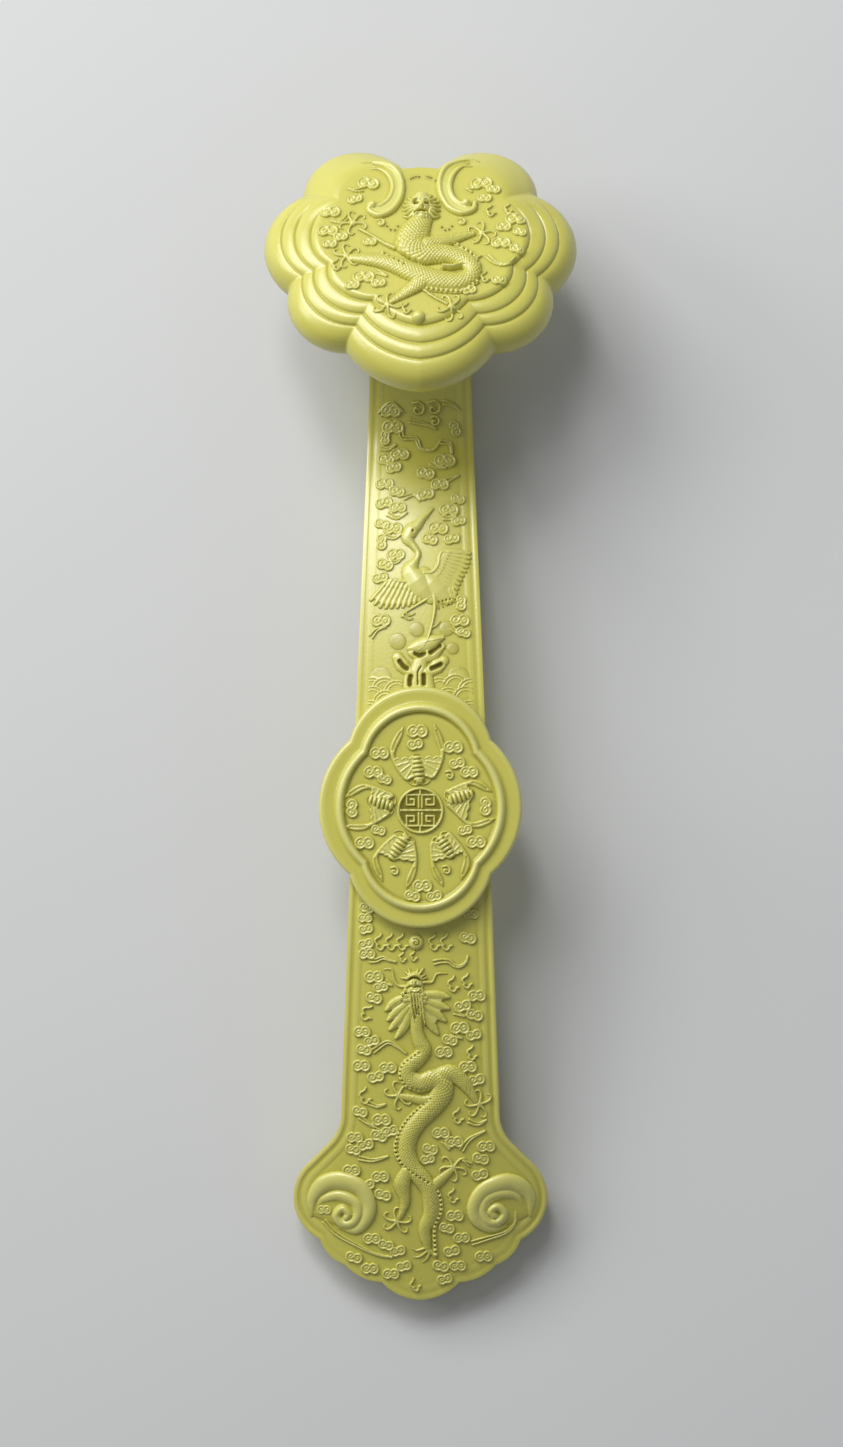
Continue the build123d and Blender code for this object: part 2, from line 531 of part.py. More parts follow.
# Five bats round the roundel, heads inward, wings swept out
bats = []
for name, angle in BATS:
    place = PLAQUE_PLANE * Rot(0, 0, angle) * Pos(BAT_RING, 0, 0) * Rot(0, 0, -90)
    with BuildPart() as bat:
        with BuildSketch(Plane(place)):
            with BuildLine():
                ThreePointArc(BAT_ROOT, BAT_ELBOW, BAT_TIP)
                ThreePointArc(BAT_TIP, BAT_CROOK, BAT_HIP)
                Line(BAT_HIP, BAT_ROOT)
            make_face()
            mirror(about=Plane.YZ)
            Ellipse(*BAT_BODY)
        extrude(amount=RELIEF)
    bat.part.label = name
    export_step(bat.part, f"parts/{name}.step")
    bats.append(bat.part)


def cloud_sketch(places):
    """Cloud heads: each is a pair of round lobes, turned by an angle."""
    with BuildSketch() as clouds:
        for x, y, turn in places:
            with Locations(Location((x, y, 0), (0, 0, turn))):
                with Locations((-CLOUD_SPREAD, 0), (CLOUD_SPREAD, 0)):
                    Circle(CLOUD_LOBE)
    return clouds.sketch


with BuildPart() as medallion_clouds:
    with BuildSketch(PLAQUE_PLANE):
        add(cloud_sketch(MEDALLION_CLOUDS))
    extrude(amount=LOW_RELIEF)
    add(bats, mode=Mode.SUBTRACT)
medallion_clouds.part.label = "medallion_clouds"
export_step(medallion_clouds.part, "parts/medallion_clouds.step")

# Layers over the sunk field that seat the reliefs, and the body of the shaft under it
relief_layer = bent_layer(-FIELD_DROP, RELIEF)
low_layer = bent_layer(-FIELD_DROP, LOW_RELIEF)
under_field = bent_layer(-SEAM_DEPTH, -FIELD_DROP, low_flat=True)


def face_seat(x, y):
    """Point of the shaft's sunk field over (x, y), and the face's normal there."""
    drop = crown_drop(x) + FIELD_DROP
    if y > NECK_START.Y:
        centre, radius, side = NECK_CENTRE, NECK_RADIUS + drop, -1
    elif y > ARCH_Y:
        centre, radius, side = ARCH_CENTRE, NECK_ARCH_RADIUS - drop, 1
    else:
        centre, radius, side = TAIL_CENTRE, TAIL_ARCH_RADIUS - drop, 1
    rise = sqrt(radius**2 - (y - centre.Y) ** 2)
    normal = Vector(0, side * (y - centre.Y) / radius, rise / radius)
    return Vector(x, y, centre.Z + side * rise), normal


def panel_seat(x, y):
    """Point of the head's panel at (x, y), and its normal."""
    return PANEL_PLANE.from_local_coords(Vector(x, y, 0)), HEAD_NORMAL


def ridge(seat, stations, sink):
    """A rounded ridge through stations of x, y, half width and height, its foot sunk under its seat."""
    seats = [seat(x, y) for x, y, half_width, height in stations]
    with BuildPart() as body:
        for step, (x, y, half_width, height) in enumerate(stations):
            point, normal = seats[step]
            ahead = seats[min(step + 1, len(seats) - 1)][0] - seats[max(step - 1, 0)][0]
            ahead = (ahead - normal * ahead.dot(normal)).normalized()
            across = normal.cross(ahead)
            foot = point - normal * sink
            with BuildSketch(Plane(origin=tuple(foot), x_dir=tuple(across), z_dir=tuple(ahead))):
                with BuildLine():
                    ThreePointArc((-half_width, 0), (0, height + sink), (half_width, 0))
                    Line((half_width, 0), (-half_width, 0))
                make_face()
        loft()
    return body.part


def seated_ridge(stations):
    """A ridge on the shaft's face, cut to sit on its field."""
    with BuildPart() as body:
        add(ridge(face_seat, stations, BODY_SINK))
        add(under_field, mode=Mode.SUBTRACT)
    return body.part


def claw_sketch(places):
    """Claws: a round pad with five spread toes, one for each place."""
    with BuildSketch() as claws:
        for x, y, turn in places:
            with Locations(Location((x, y, 0), (0, 0, turn))):
                Circle(CLAW_PAD)
                with PolarLocations(CLAW_REACH / 2, CLAW_TOES, -CLAW_SPREAD / 2, CLAW_SPREAD):
                    Rectangle(CLAW_REACH, CLAW_TOE_WIDTH)
    return claws.sketch


# The dragon on the head
with BuildPart() as head_dragon_body:
    add(ridge(panel_seat, HEAD_DRAGON, 0))
head_dragon_body.part.label = "head_dragon_body"
export_step(head_dragon_body.part, "parts/head_dragon_body.step")
with BuildPart() as head_dragon_mask:
    add(ridge(panel_seat, HEAD_MASK, 0))
    add(head_dragon_body.part, mode=Mode.SUBTRACT)
head_dragon_mask.part.label = "head_dragon_mask"
export_step(head_dragon_mask.part, "parts/head_dragon_mask.step")
with BuildPart() as head_dragon_legs:
    for stations in HEAD_LEGS:
        add(ridge(panel_seat, stations, 0))
    add(head_dragon_body.part, mode=Mode.SUBTRACT)
head_dragon_legs.part.label = "head_dragon_legs"
export_step(head_dragon_legs.part, "parts/head_dragon_legs.step")
with BuildPart() as head_dragon_claws:
    with BuildSketch(PANEL_PLANE):
        add(claw_sketch(HEAD_CLAWS))
    extrude(amount=LOW_RELIEF)
    add([head_dragon_body.part, head_dragon_legs.part], mode=Mode.SUBTRACT)
head_dragon_claws.part.label = "head_dragon_claws"
export_step(head_dragon_claws.part, "parts/head_dragon_claws.step")

# The dragon on the shaft
with BuildPart() as dragon_head:
    add(seated_ridge(DRAGON_HEAD))
dragon_head.part.label = "dragon_head"
export_step(dragon_head.part, "parts/dragon_head.step")
with BuildPart() as dragon_neck:
    add(seated_ridge(DRAGON_NECK))
    add(dragon_head.part, mode=Mode.SUBTRACT)
dragon_neck.part.label = "dragon_neck"
export_step(dragon_neck.part, "parts/dragon_neck.step")
with BuildPart() as dragon_body:
    add(seated_ridge(DRAGON_BODY))
    add(dragon_neck.part, mode=Mode.SUBTRACT)
dragon_body.part.label = "dragon_body"
export_step(dragon_body.part, "parts/dragon_body.step")


def leaf_sketch(root, tip):
    """A leaf between two bowed edges, from its root to its tip."""
    with BuildSketch() as leaf:
        with BuildLine():
            SagittaArc(root, tip, MANE_BOW)
            SagittaArc(tip, root, MANE_BOW)
        make_face()
    return leaf.sketch


def laid_on(layer, sketch, cutters=()):
    """A flat shape in plan, extruded and kept where it lies in a layer over the shaft's field."""
    with BuildPart() as relief:
        with BuildSketch(Plane.XY):
            add(sketch)
        extrude(amount=SKY)
        add(layer, mode=Mode.INTERSECT)
        for cutter in cutters:
            add(cutter, mode=Mode.SUBTRACT)
    return relief.part


with BuildSketch() as mane_plan:
    for root, tip in MANE_LEAVES:
        add(leaf_sketch(root, tip))
with BuildPart() as dragon_mane:
    add(laid_on(relief_layer, mane_plan.sketch, (dragon_neck.part, dragon_head.part)))
dragon_mane.part.label = "dragon_mane"
export_step(dragon_mane.part, "parts/dragon_mane.step")

with BuildPart() as dragon_legs:
    for stations in DRAGON_LEGS:
        add(seated_ridge(stations))
    add([dragon_body.part, dragon_neck.part], mode=Mode.SUBTRACT)
dragon_legs.part.label = "dragon_legs"
export_step(dragon_legs.part, "parts/dragon_legs.step")

with BuildPart() as dragon_claws:
    add(laid_on(low_layer, claw_sketch(DRAGON_CLAWS), (dragon_legs.part, dragon_body.part)))
dragon_claws.part.label = "dragon_claws"
export_step(dragon_claws.part, "parts/dragon_claws.step")

# The pearl that the dragon chases, and its flames
with BuildPart() as pearl:
    with Locations(tuple(face_seat(*PEARL_PLACE)[0])):
        Sphere(PEARL_RADIUS)
    add(under_field, mode=Mode.SUBTRACT)
pearl.part.label = "pearl"
export_step(pearl.part, "parts/pearl.step")
with BuildSketch() as flame_plan:
    with Locations(*PEARL_FLAMES):
        Ellipse(*FLAME_SIZE)
with BuildPart() as pearl_flames:
    add(laid_on(low_layer, flame_plan.sketch))
pearl_flames.part.label = "pearl_flames"
export_step(pearl_flames.part, "parts/pearl_flames.step")

# The crane over its rock and the waves
with BuildPart() as crane_body:
    add(seated_ridge(CRANE_BODY))
crane_body.part.label = "crane_body"
export_step(crane_body.part, "parts/crane_body.step")
with BuildPart() as crane_neck:
    add(seated_ridge(CRANE_NECK))
    add(crane_body.part, mode=Mode.SUBTRACT)
crane_neck.part.label = "crane_neck"
export_step(crane_neck.part, "parts/crane_neck.step")
for name, outline in (("crane_wing_right", CRANE_WING_RIGHT), ("crane_wing_left", CRANE_WING_LEFT)):
    with BuildSketch() as wing_plan:
        with BuildLine():
            Polyline(*outline, close=True)
        make_face()
    with BuildPart() as wing:
        add(laid_on(relief_layer, wing_plan.sketch, (crane_body.part,)))
    wing.part.label = name
    export_step(wing.part, f"parts/{name}.step")
    if name == "crane_wing_right":
        right_wing = wing.part
    else:
        left_wing = wing.part
with BuildPart() as crane_legs:
    for stations in CRANE_LEGS:
        add(seated_ridge(stations))
    add([crane_body.part, left_wing, right_wing], mode=Mode.SUBTRACT)
crane_legs.part.label = "crane_legs"
export_step(crane_legs.part, "parts/crane_legs.step")

with BuildSketch() as rock_plan:
    with Locations(ROCK_PLATFORM[:2]):
        Ellipse(*ROCK_PLATFORM[2:])
    for x, y, radius in ROCK_LOBES:
        with Locations((x, y)):
            Circle(radius)
    for x, y, radius in ROCK_HOLES:
        with Locations((x, y)):
            Circle(radius, mode=Mode.SUBTRACT)
    for x, y, radius in ROCK_DISCS:
        with Locations((x, y)):
            Circle(radius)
with BuildPart() as rock:
    add(laid_on(relief_layer, rock_plan.sketch, (crane_legs.part,)))
rock.part.label = "rock"
export_step(rock.part, "parts/rock.step")

with BuildSketch() as wave_plan:
    for centre in WAVE_CENTRES:
        with Locations(centre):
            for radius in WAVE_RADII:
                Circle(radius)
                Circle(radius - WAVE_WIDTH, mode=Mode.SUBTRACT)
field_prism = plan_prism(RIM_WIDTH + 2 * GROOVE_WIDTH)
with BuildPart() as wave_bands:
    add(laid_on(low_layer, wave_plan.sketch, (medallion_plaque.part, rock.part)))
    add(field_prism, mode=Mode.INTERSECT)
wave_bands.part.label = "wave_bands"
export_step(wave_bands.part, "parts/wave_bands.step")

# Clouds scattered over the shaft, the tail and the head's panel
with BuildPart() as upper_clouds:
    add(laid_on(low_layer, cloud_sketch(UPPER_CLOUDS)))
    add(field_prism, mode=Mode.INTERSECT)
    add([crane_neck.part, left_wing, right_wing, shaft_front_shell.part], mode=Mode.SUBTRACT)
upper_clouds.part.label = "upper_clouds"
export_step(upper_clouds.part, "parts/upper_clouds.step")
with BuildPart() as lower_clouds:
    add(laid_on(low_layer, cloud_sketch(LOWER_CLOUDS)))
    add(field_prism, mode=Mode.INTERSECT)
    add([dragon_body.part, dragon_neck.part, dragon_mane.part], mode=Mode.SUBTRACT)
    add([dragon_legs.part, dragon_claws.part], mode=Mode.SUBTRACT)
lower_clouds.part.label = "lower_clouds"
export_step(lower_clouds.part, "parts/lower_clouds.step")
with BuildPart() as head_clouds:
    with BuildSketch(PANEL_PLANE):
        add(cloud_sketch(HEAD_CLOUDS))
    extrude(amount=LOW_RELIEF)
    head_figures = [head_dragon_body.part, head_dragon_legs.part, head_dragon_claws.part]
    add(head_figures, mode=Mode.SUBTRACT)
head_clouds.part.label = "head_clouds"
export_step(head_clouds.part, "parts/head_clouds.step")
with BuildPart() as head_pearl:
    with Locations(PANEL_PLANE * Pos(*HEAD_PEARL, 0)):
        Sphere(HEAD_PEARL_RADIUS, -90, 90)
    split(bisect_by=PANEL_PLANE)
head_pearl.part.label = "head_pearl"
export_step(head_pearl.part, "parts/head_pearl.step")

# Scrolls at the top of the head and volutes on the tail, a left and a right one of each
for name, side in (("head_scroll_left", -1), ("head_scroll_right", 1)):
    stations = [(side * x, y, half_width, height) for x, y, half_width, height in HEAD_SCROLL]
    with BuildPart() as scroll:
        add(ridge(panel_seat, stations, 0))
    scroll.part.label = name
    export_step(scroll.part, f"parts/{name}.step")


def volute_stations(side):
    """Stations of a volute: a spiral that loses one pitch of radius in each turn."""
    stations = []
    for step in range(VOLUTE_STEPS + 1):
        turn = VOLUTE_TURNS * step / VOLUTE_STEPS
        radius = VOLUTE_RADIUS - VOLUTE_PITCH * turn
        angle = radians(90 + 360 * turn)
        x = VOLUTE_PLACE[0] + radius * cos(angle)
        stations.append((side * x, VOLUTE_PLACE[1] + radius * sin(angle), *VOLUTE_ROLL))
    return stations


for name, side in (("tail_volute_left", -1), ("tail_volute_right", 1)):
    with BuildPart() as volute:
        add(seated_ridge(volute_stations(side)))
    volute.part.label = name
    export_step(volute.part, f"parts/{name}.step")
with BuildPart() as tail_clouds:
    add(laid_on(low_layer, cloud_sketch(TAIL_CLOUDS)))
    add(field_prism, mode=Mode.INTERSECT)
    add([dragon_body.part, dragon_claws.part], mode=Mode.SUBTRACT)
tail_clouds.part.label = "tail_clouds"
export_step(tail_clouds.part, "parts/tail_clouds.step")
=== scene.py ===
import functools
import math

import bpy
import numpy as np
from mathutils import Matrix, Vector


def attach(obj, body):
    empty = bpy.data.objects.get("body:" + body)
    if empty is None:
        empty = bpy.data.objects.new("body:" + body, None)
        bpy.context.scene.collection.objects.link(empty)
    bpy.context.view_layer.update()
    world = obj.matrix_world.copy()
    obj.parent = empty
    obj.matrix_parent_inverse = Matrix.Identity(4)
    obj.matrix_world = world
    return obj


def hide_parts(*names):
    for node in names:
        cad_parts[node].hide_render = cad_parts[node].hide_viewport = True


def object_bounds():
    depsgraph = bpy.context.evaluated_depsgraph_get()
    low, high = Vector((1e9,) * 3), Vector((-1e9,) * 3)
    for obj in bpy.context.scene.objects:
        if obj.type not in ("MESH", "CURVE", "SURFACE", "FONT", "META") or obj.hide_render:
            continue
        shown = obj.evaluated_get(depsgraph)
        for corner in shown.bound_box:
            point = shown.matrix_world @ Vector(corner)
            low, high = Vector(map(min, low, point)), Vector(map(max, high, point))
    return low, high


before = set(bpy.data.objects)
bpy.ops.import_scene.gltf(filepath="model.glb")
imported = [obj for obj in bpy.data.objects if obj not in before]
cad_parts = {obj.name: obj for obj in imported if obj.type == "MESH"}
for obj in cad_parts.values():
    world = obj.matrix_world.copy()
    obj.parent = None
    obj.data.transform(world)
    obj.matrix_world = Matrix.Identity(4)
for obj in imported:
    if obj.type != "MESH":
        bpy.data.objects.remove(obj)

CAD_LOW, CAD_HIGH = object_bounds()

bl_info = {
    "name": "Yellow-glazed ruyi sceptre",
    "version": (1, 0, 0),
    "blender": (4, 5, 0),
    "location": "3D View > Sidebar > Sceptre",
    "description": "Dresses the sceptre's solids with moulded porcelain surfaces, relief and glaze",
    "category": "Object",
}

# Sizes are in millimetres, unless a comment says otherwise
MM = 0.001

# Side profile of the shaft: two arches, a hollow neck and a straight stem
TAIL_Y = CAD_LOW[1] / MM
ARCH_Y = -28.0
TAIL_ARCH = 580.0
NECK_ARCH = 349.0
NECK_SLOPE = math.radians(21.7)
NECK_R = 32.0
HEAD_TILT = math.radians(28.0)
STEM_HEADING = math.pi / 2 - HEAD_TILT
STEM_LENGTH = 23.2
THICKNESS = 16.0
GROUND_FLAT = 0.5
ARCH_Z = THICKNESS - GROUND_FLAT + (NECK_ARCH + NECK_R) * (1 - math.cos(NECK_SLOPE))
NECK_CY = ARCH_Y + (NECK_ARCH + NECK_R) * math.sin(NECK_SLOPE)
NECK_CZ = ARCH_Z - NECK_ARCH + (NECK_ARCH + NECK_R) * math.cos(NECK_SLOPE)
NECK_START_Y = ARCH_Y + NECK_ARCH * math.sin(NECK_SLOPE)
NECK_END_Y = NECK_CY + NECK_R * math.sin(STEM_HEADING)
NECK_END_Z = NECK_CZ - NECK_R * math.cos(STEM_HEADING)
LEAN_FROM, LEAN_TO = 0.0, 90.0

# Cross-section, plan and tail
CROWN_R = 150.0
SEAM_DEPTH = 10.0
FIELD_DROP = 0.4
FIELD_INSET = 5.8
NECK_HALF, NECK_HALF_Y = 18.8, 126.5
FLARE_HALF, FLARE_Y = 29.3, -147.5
TAPER = (FLARE_HALF - NECK_HALF) / (NECK_HALF_Y - FLARE_Y)
FLARE_FILLET = 16.0
TAIL_LOBE = (46.9, 38.0)
TAIL_SHOULDER = (41.0, 51.5)
TAIL_NOTCHES = ((14.4, 6.8), (27.9, 13.2), (37.1, 22.6))
TAIL_BULGE = 1.6
TAIL_HEART = 34.0
NOTCH_STEPS, LOBE_STEPS, FLANK_STEPS, FILLET_STEPS, SHAFT_STEPS = 40, 80, 12, 30, 300
SMOOTH_POINTS = 5

# Rim of the shaft: place, span and height of its mouldings, and how they fade on the tail and towards the neck
RIM_GROOVE, GROOVE_SPAN, GROOVE_DEPTH = 0.55, 0.55, 0.16
RIM_RIB, RIB_SPAN, RIB_HEIGHT = 2.25, 1.0, 0.15
FIELD_LINE_SPAN, FIELD_LINE_DEPTH = 0.4, 0.1
BEAD_MIDDLE, BEAD_SPAN, BEAD_HEIGHT, BEAD_FOOT = 0.45, 0.58, 0.68, 0.8
RIM_TAIL, RIM_TAIL_ROWS = 0.25, (-4.0, 6.0)
RIM_SOFT, RIM_SOFT_ROWS = 0.55, (-30.0, 20.0)

# Rings of the front shell: shares of the bead, insets behind it, then equal steps to the axis; depths of the walls
BEAD_SHARES = (0.0, 0.02, 0.07, 0.15, 0.27, 0.4, 0.55, 0.7, 0.82, 0.91, 0.97)
RIM_INSETS = (0.04, 0.2, 0.4, 0.6, 0.8, 0.98, 1.1, 1.2, 1.4, 1.7, 2.0, 2.35, 2.7, 3.0, 3.3, 3.5, 3.62, 3.8, 4.0, 4.4)
FIELD_STEPS = 36
WALL_DEPTHS = (1.2, 2.2, 3.6, 6.0, SEAM_DEPTH)
WALL_START, WALL_END = 1.0, 0.1
SEAM_STEPS = 13
# Back shell: inset and height over the back of the rings that round its edge
BACK_EDGE = ((0.0, 3.0), (0.25, 1.6), (0.8, 0.7), (1.7, 0.15), (3.0, 0.0))
BACK_STEPS = 14
BACK_WALL = 1.5

# Head: half sizes of its outline, arcs of its right half as shares of them, back plate as (inset, height)
HEAD_HALF = (56.5, 50.0)
HEAD_LOBES = (
    ((0.0, -1.0), (0.27, -0.9), (0.47, -0.667)), ((0.47, -0.667), (0.759, -0.521), (0.84, -0.176)),
    ((0.84, -0.176), (1.0, 0.209), (0.756, 0.61)), ((0.756, 0.61), (0.437, 1.0), (0.136, 0.808)),
    ((0.136, 0.808), (0.07, 0.78), (0.0, 0.771)),
)
HEAD_LOBE_STEPS = 56
PANEL_TOP = 20.2
PANEL_RINGS, PANEL_EDGE = 40, 0.01
PLATE_INSET = 6.1
PLATE_THICKNESS = 5.0
PLATE_RINGS = ((PLATE_INSET, PLATE_THICKNESS), (PLATE_INSET, 0.6), (PLATE_INSET + 0.6, 0.0), (PLATE_INSET + 8.0, 0.0),
               (PLATE_INSET + 30.0, 0.0))
SHOULDER = (0.8, 10.0)
SHOULDER_SHARE = 1 - SHOULDER[0] / HEAD_HALF[0]
HEAD_REACH = HEAD_HALF[1] * SHOULDER_SHARE * math.cos(HEAD_TILT) + SHOULDER[1] * math.sin(HEAD_TILT)
HEAD_Y = -TAIL_Y - HEAD_REACH
HEAD_Z = NECK_END_Z + (STEM_LENGTH - (HEAD_Y - NECK_END_Y) * math.sin(HEAD_TILT)) / math.cos(HEAD_TILT)
TOP_Y = NECK_END_Y + (STEM_LENGTH + PLATE_THICKNESS) * math.cos(STEM_HEADING)
# Head cap: inset from the widest outline, height over the back and lift of the glaze, of its wall; the lift paints a
# highlight on the wall's shoulder and shade in the crease at its top
HEAD_WALL = (
    (6.1, 0.0, 0.5), (4.2, 0.0, 0.5), (3.0, 0.1, 0.5), (1.9, 0.8, 0.5), (0.9, 2.0, 0.5), (0.25, 3.6, 0.5),
    (0.0, 5.2, 0.5), (0.3, 7.3, 0.5), (1.0, 9.3, 0.5), (2.1, 11.2, 0.52), (3.7, 12.9, 0.56), (5.4, 13.85, 0.5),
    (6.3, 13.9, 0.35),
)
WALL_TOP_ROWS = 3
# Each tier: inset of its foot and of its inner end, then their heights; the glaze's lift from foot to inner end, low as
# painted shade in the crease at the foot and highest as painted highlight on the rounded rise
TIER_STEPS = ((6.45, 11.0, 13.8, 16.4), (11.2, 16.5, 16.15, 18.5), (16.7, 19.2, 18.25, PANEL_TOP))
TIER_LIFT = (0.34, 0.46, 0.56, 0.6, 0.57, 0.53, 0.5, 0.48, 0.42)
# Tiers gather under the top notch, lie wider at the foot and melt into a cushion on the top lobes
CAP_GATHER, CAP_GATHER_SPAN, CAP_GATHER_ROWS = 0.72, 13.0, (10.0, 34.0)
CAP_WIDE, CAP_FOOT, CAP_FOOT_ROWS = 1.04, 0.2, (8.0, 40.0)
CAP_SPREAD_HEIGHTS = (9.0, 14.0)
MELT_FROM, MELT_TO = 3 * HEAD_LOBE_STEPS - 26, 3 * HEAD_LOBE_STEPS - 3
CUSHION_SPAN, CUSHION_START, CUSHION_LIFT = (-6.0, 17.5), 3.0, 0.54

# Medallion: half sizes, notches between its lobes, profile as (inset, height, lift of the glaze), boss and its fret;
# the profile's lift paints highlight on the bead's crest and shade in the groove inside it
MEDALLION_HALF = (36.9, 43.8)
MEDALLION_NOTCH = (25.7, 24.4)
MEDALLION_RISE = 3.6
MEDALLION_PROFILE = np.array([
    (1.2, -7.0, 0.4), (0.4, -6.6, 0.5), (0.0, -5.6, 0.5), (0.0, -2.2, 0.55), (0.15, -1.0, 0.62), (0.6, -0.25, 0.72),
    (1.3, 0.0, 0.62), (2.6, -0.05, 0.5), (4.4, -0.1, 0.5), (5.4, -0.1, 0.45), (5.75, 0.05, 0.45), (6.1, 0.6, 0.55),
    (6.6, 1.25, 0.68), (7.2, 1.65, 0.78), (7.8, 1.75, 0.8), (8.4, 1.55, 0.72), (8.9, 1.05, 0.55), (9.3, 0.35, 0.36),
    (9.5, -0.1, 0.26), (9.9, -0.15, 0.32), (10.6, -0.05, 0.45), (11.5, 0.0, 0.5),
])
MEDALLION_FIELD_ROWS = 2
MEDALLION_RINGS = 45
MEDALLION_LOBE_STEPS = 120
RING_END = 0.02
ROUNDEL_R = 8.6
ROUNDEL_BED, ROUNDEL_SHADE, ROUNDEL_RING = (0.4, 0.4), 0.85, (0.55, 1.3)
ROUNDEL_RING_INSET, ROUNDEL_STEPS, ROUNDEL_DEEP = 0.6, 120, 0.3
FRET_HOOK = ((0.6, 1.0), (0.6, 5.6), (5.0, 5.6), (5.0, 2.0), (2.2, 2.0), (2.2, 4.0), (3.6, 4.0))
FRET_BARS = (((-7.2, 0.0), (7.2, 0.0)), ((0.0, 5.6), (0.0, 7.4)), ((0.0, -7.4), (0.0, -5.6)))
FRET_STEPS, FRET_LINE, FRET_BAR = 90, (0.36, 1.1), (0.34, 1.1)

# Drawings of the reliefs: their step, corners of the shaft's, panel's and plaque's, strands of the clouds
SHEET_STEP = 0.27
SHAFT_CORNERS = (-46.5, TAIL_Y + 2), (46.5, 127.0)
PANEL_CORNERS = (-46.0, -42.0), (46.0, 46.0)
PLAQUE_CORNERS = (-31.0, -37.0), (31.0, 37.0)
RAISED = 0.02
STRAND_POWER, DOT_POWER = 0.6, 0.5
GRID_END, TINY = 1.001, 1e-9
CARVE_FLOOR, CARVE_SHADE, PATTERN_SHADE = 0.05, 1.3, 4.5
POINTS_AT_ONCE = 40
CURVE_STEP, CURVE_PARTS = 0.3, 12
STRAND_WIDTH = 0.46
STRAND_HEIGHT = 0.95
CLOUD_SCALE = 1.12
CLOUD_HALF = 2.6
CLOUD_PAD = 0.5
CLOUD_ROOM = 0.7

# Lift of the glaze, 0 in pits to 1 on edges, which picks its colour: low lift is glaze pooling and painted shade in
# pits, creases and cut lines, and high lift is thin glaze and painted highlight on edges and crests.
# Values for open ground, rim, reliefs, and how much glaze pooling and painted shade darken the ground beside reliefs
GROUND_LIFT = 0.5
RIM_LIFT = (0.28, 0.95)
RELIEF_FOOT, RELIEF_LIFT, RELIEF_SHADE = 0.32, 0.36, 0.93
RELIEF_FULL, RELIEF_CREST = 1.3, 0.9
POOL_SHADE_FROM, POOL_SHADE_CELLS = 0.05, 2
SHAFT_POOL_SHADE, HEAD_POOL_SHADE, PLAQUE_POOL_SHADE = 0.22, 0.3, 0.2

# Camera over the table, and places and scales of the photograph: its pixels, and millimetres a pixel
PHOTO_ROWS = 1447
CAMERA_HEIGHT = 1550.0
CAMERA_XY = (0.4, 2.4)
SHEET_SCALE, SHEET_HEIGHT, SHEET_MIDDLE = 0.366, 30.0, (420.5, 723.0)
SCALE_ROUNDS = 3
TAIL_SHIFT, TAIL_SHIFT_ROWS = 4.0, (1070, 1200)
PANEL_MIDDLE, PANEL_SCALE = (417.5, 248.0), (0.358, -0.431)
PLAQUE_MIDDLE, PLAQUE_SCALE = (418.0, 808.0), (0.3615, -0.3615)

# Glaze: lifts of its colours, clouding, pinholes, fine grain, and ranges as (from, from, to, to)
GLAZE_STOPS = (0.2, 0.5, 1.0)
CLOUDING = {"Scale": 55.0, "Detail": 4.0}
CLOUDING_RANGE, CLOUDING_TINT = (0.35, 0.75, 0.0, 0.16), (0.72, 0.68, 0.35, 1)
PINHOLES, PINHOLE_RANGE = {"Scale": 48.0}, (0.012, 0.026, 0.65, 0.0)
GRAIN = {"Scale": 900.0, "Detail": 2.0}
GRAIN_RISE = {"Strength": 0.25, "Distance": 0.0002}
GLOSS_SPREAD = (-0.06, 0.08)
SHEEN_RANGE, COAT_RANGE, COAT_ROUGHNESS = (0.0, 0.25, 0.05, 0.85), (0.0, 0.25, 0.0, 0.35), 0.28

# Stage, in metres and watts: table, room, lights as (name, place, size, power) and the point they face
TABLE_HALF = 3.0
TABLE_GRAIN, TABLE_SHADES, TABLE_ROUGHNESS, TABLE_SHEEN = {"Scale": 1.4}, (0.985, 1.015), 0.9, 0.15
ROOM_COLOUR, ROOM_STRENGTH = (0.95, 0.97, 1.0, 1), 0.25
LIGHTS = (
    ("key", (-0.86, 1.26, 1.2), (1.0, 1.0), 23.5),
    ("window", (-0.24, 1.2, 1.6), (0.35, 0.7), 9.5),
    ("side", (-1.6, 0.6, 0.9), (0.7, 0.9), 9.0),
)
LIGHT_AIM = (0.0, 0.0, 0.02)
CLIP_START = 0.05


def ease(value, low, high):
    """Smooth step: 0 below low, 1 above high, a cubic between them."""
    t = np.clip((value - low) / (high - low), 0.0, 1.0)
    return t * t * (3 - 2 * t)


def crown(x):
    """Drop of the crowned face at x: the sagitta of a circle."""
    return CROWN_R - np.sqrt(CROWN_R**2 - np.clip(x, -CROWN_R, CROWN_R) ** 2)


def shaft_half(y):
    """Half width of the tapering shaft at y."""
    return FLARE_HALF - (y - FLARE_Y) * TAPER


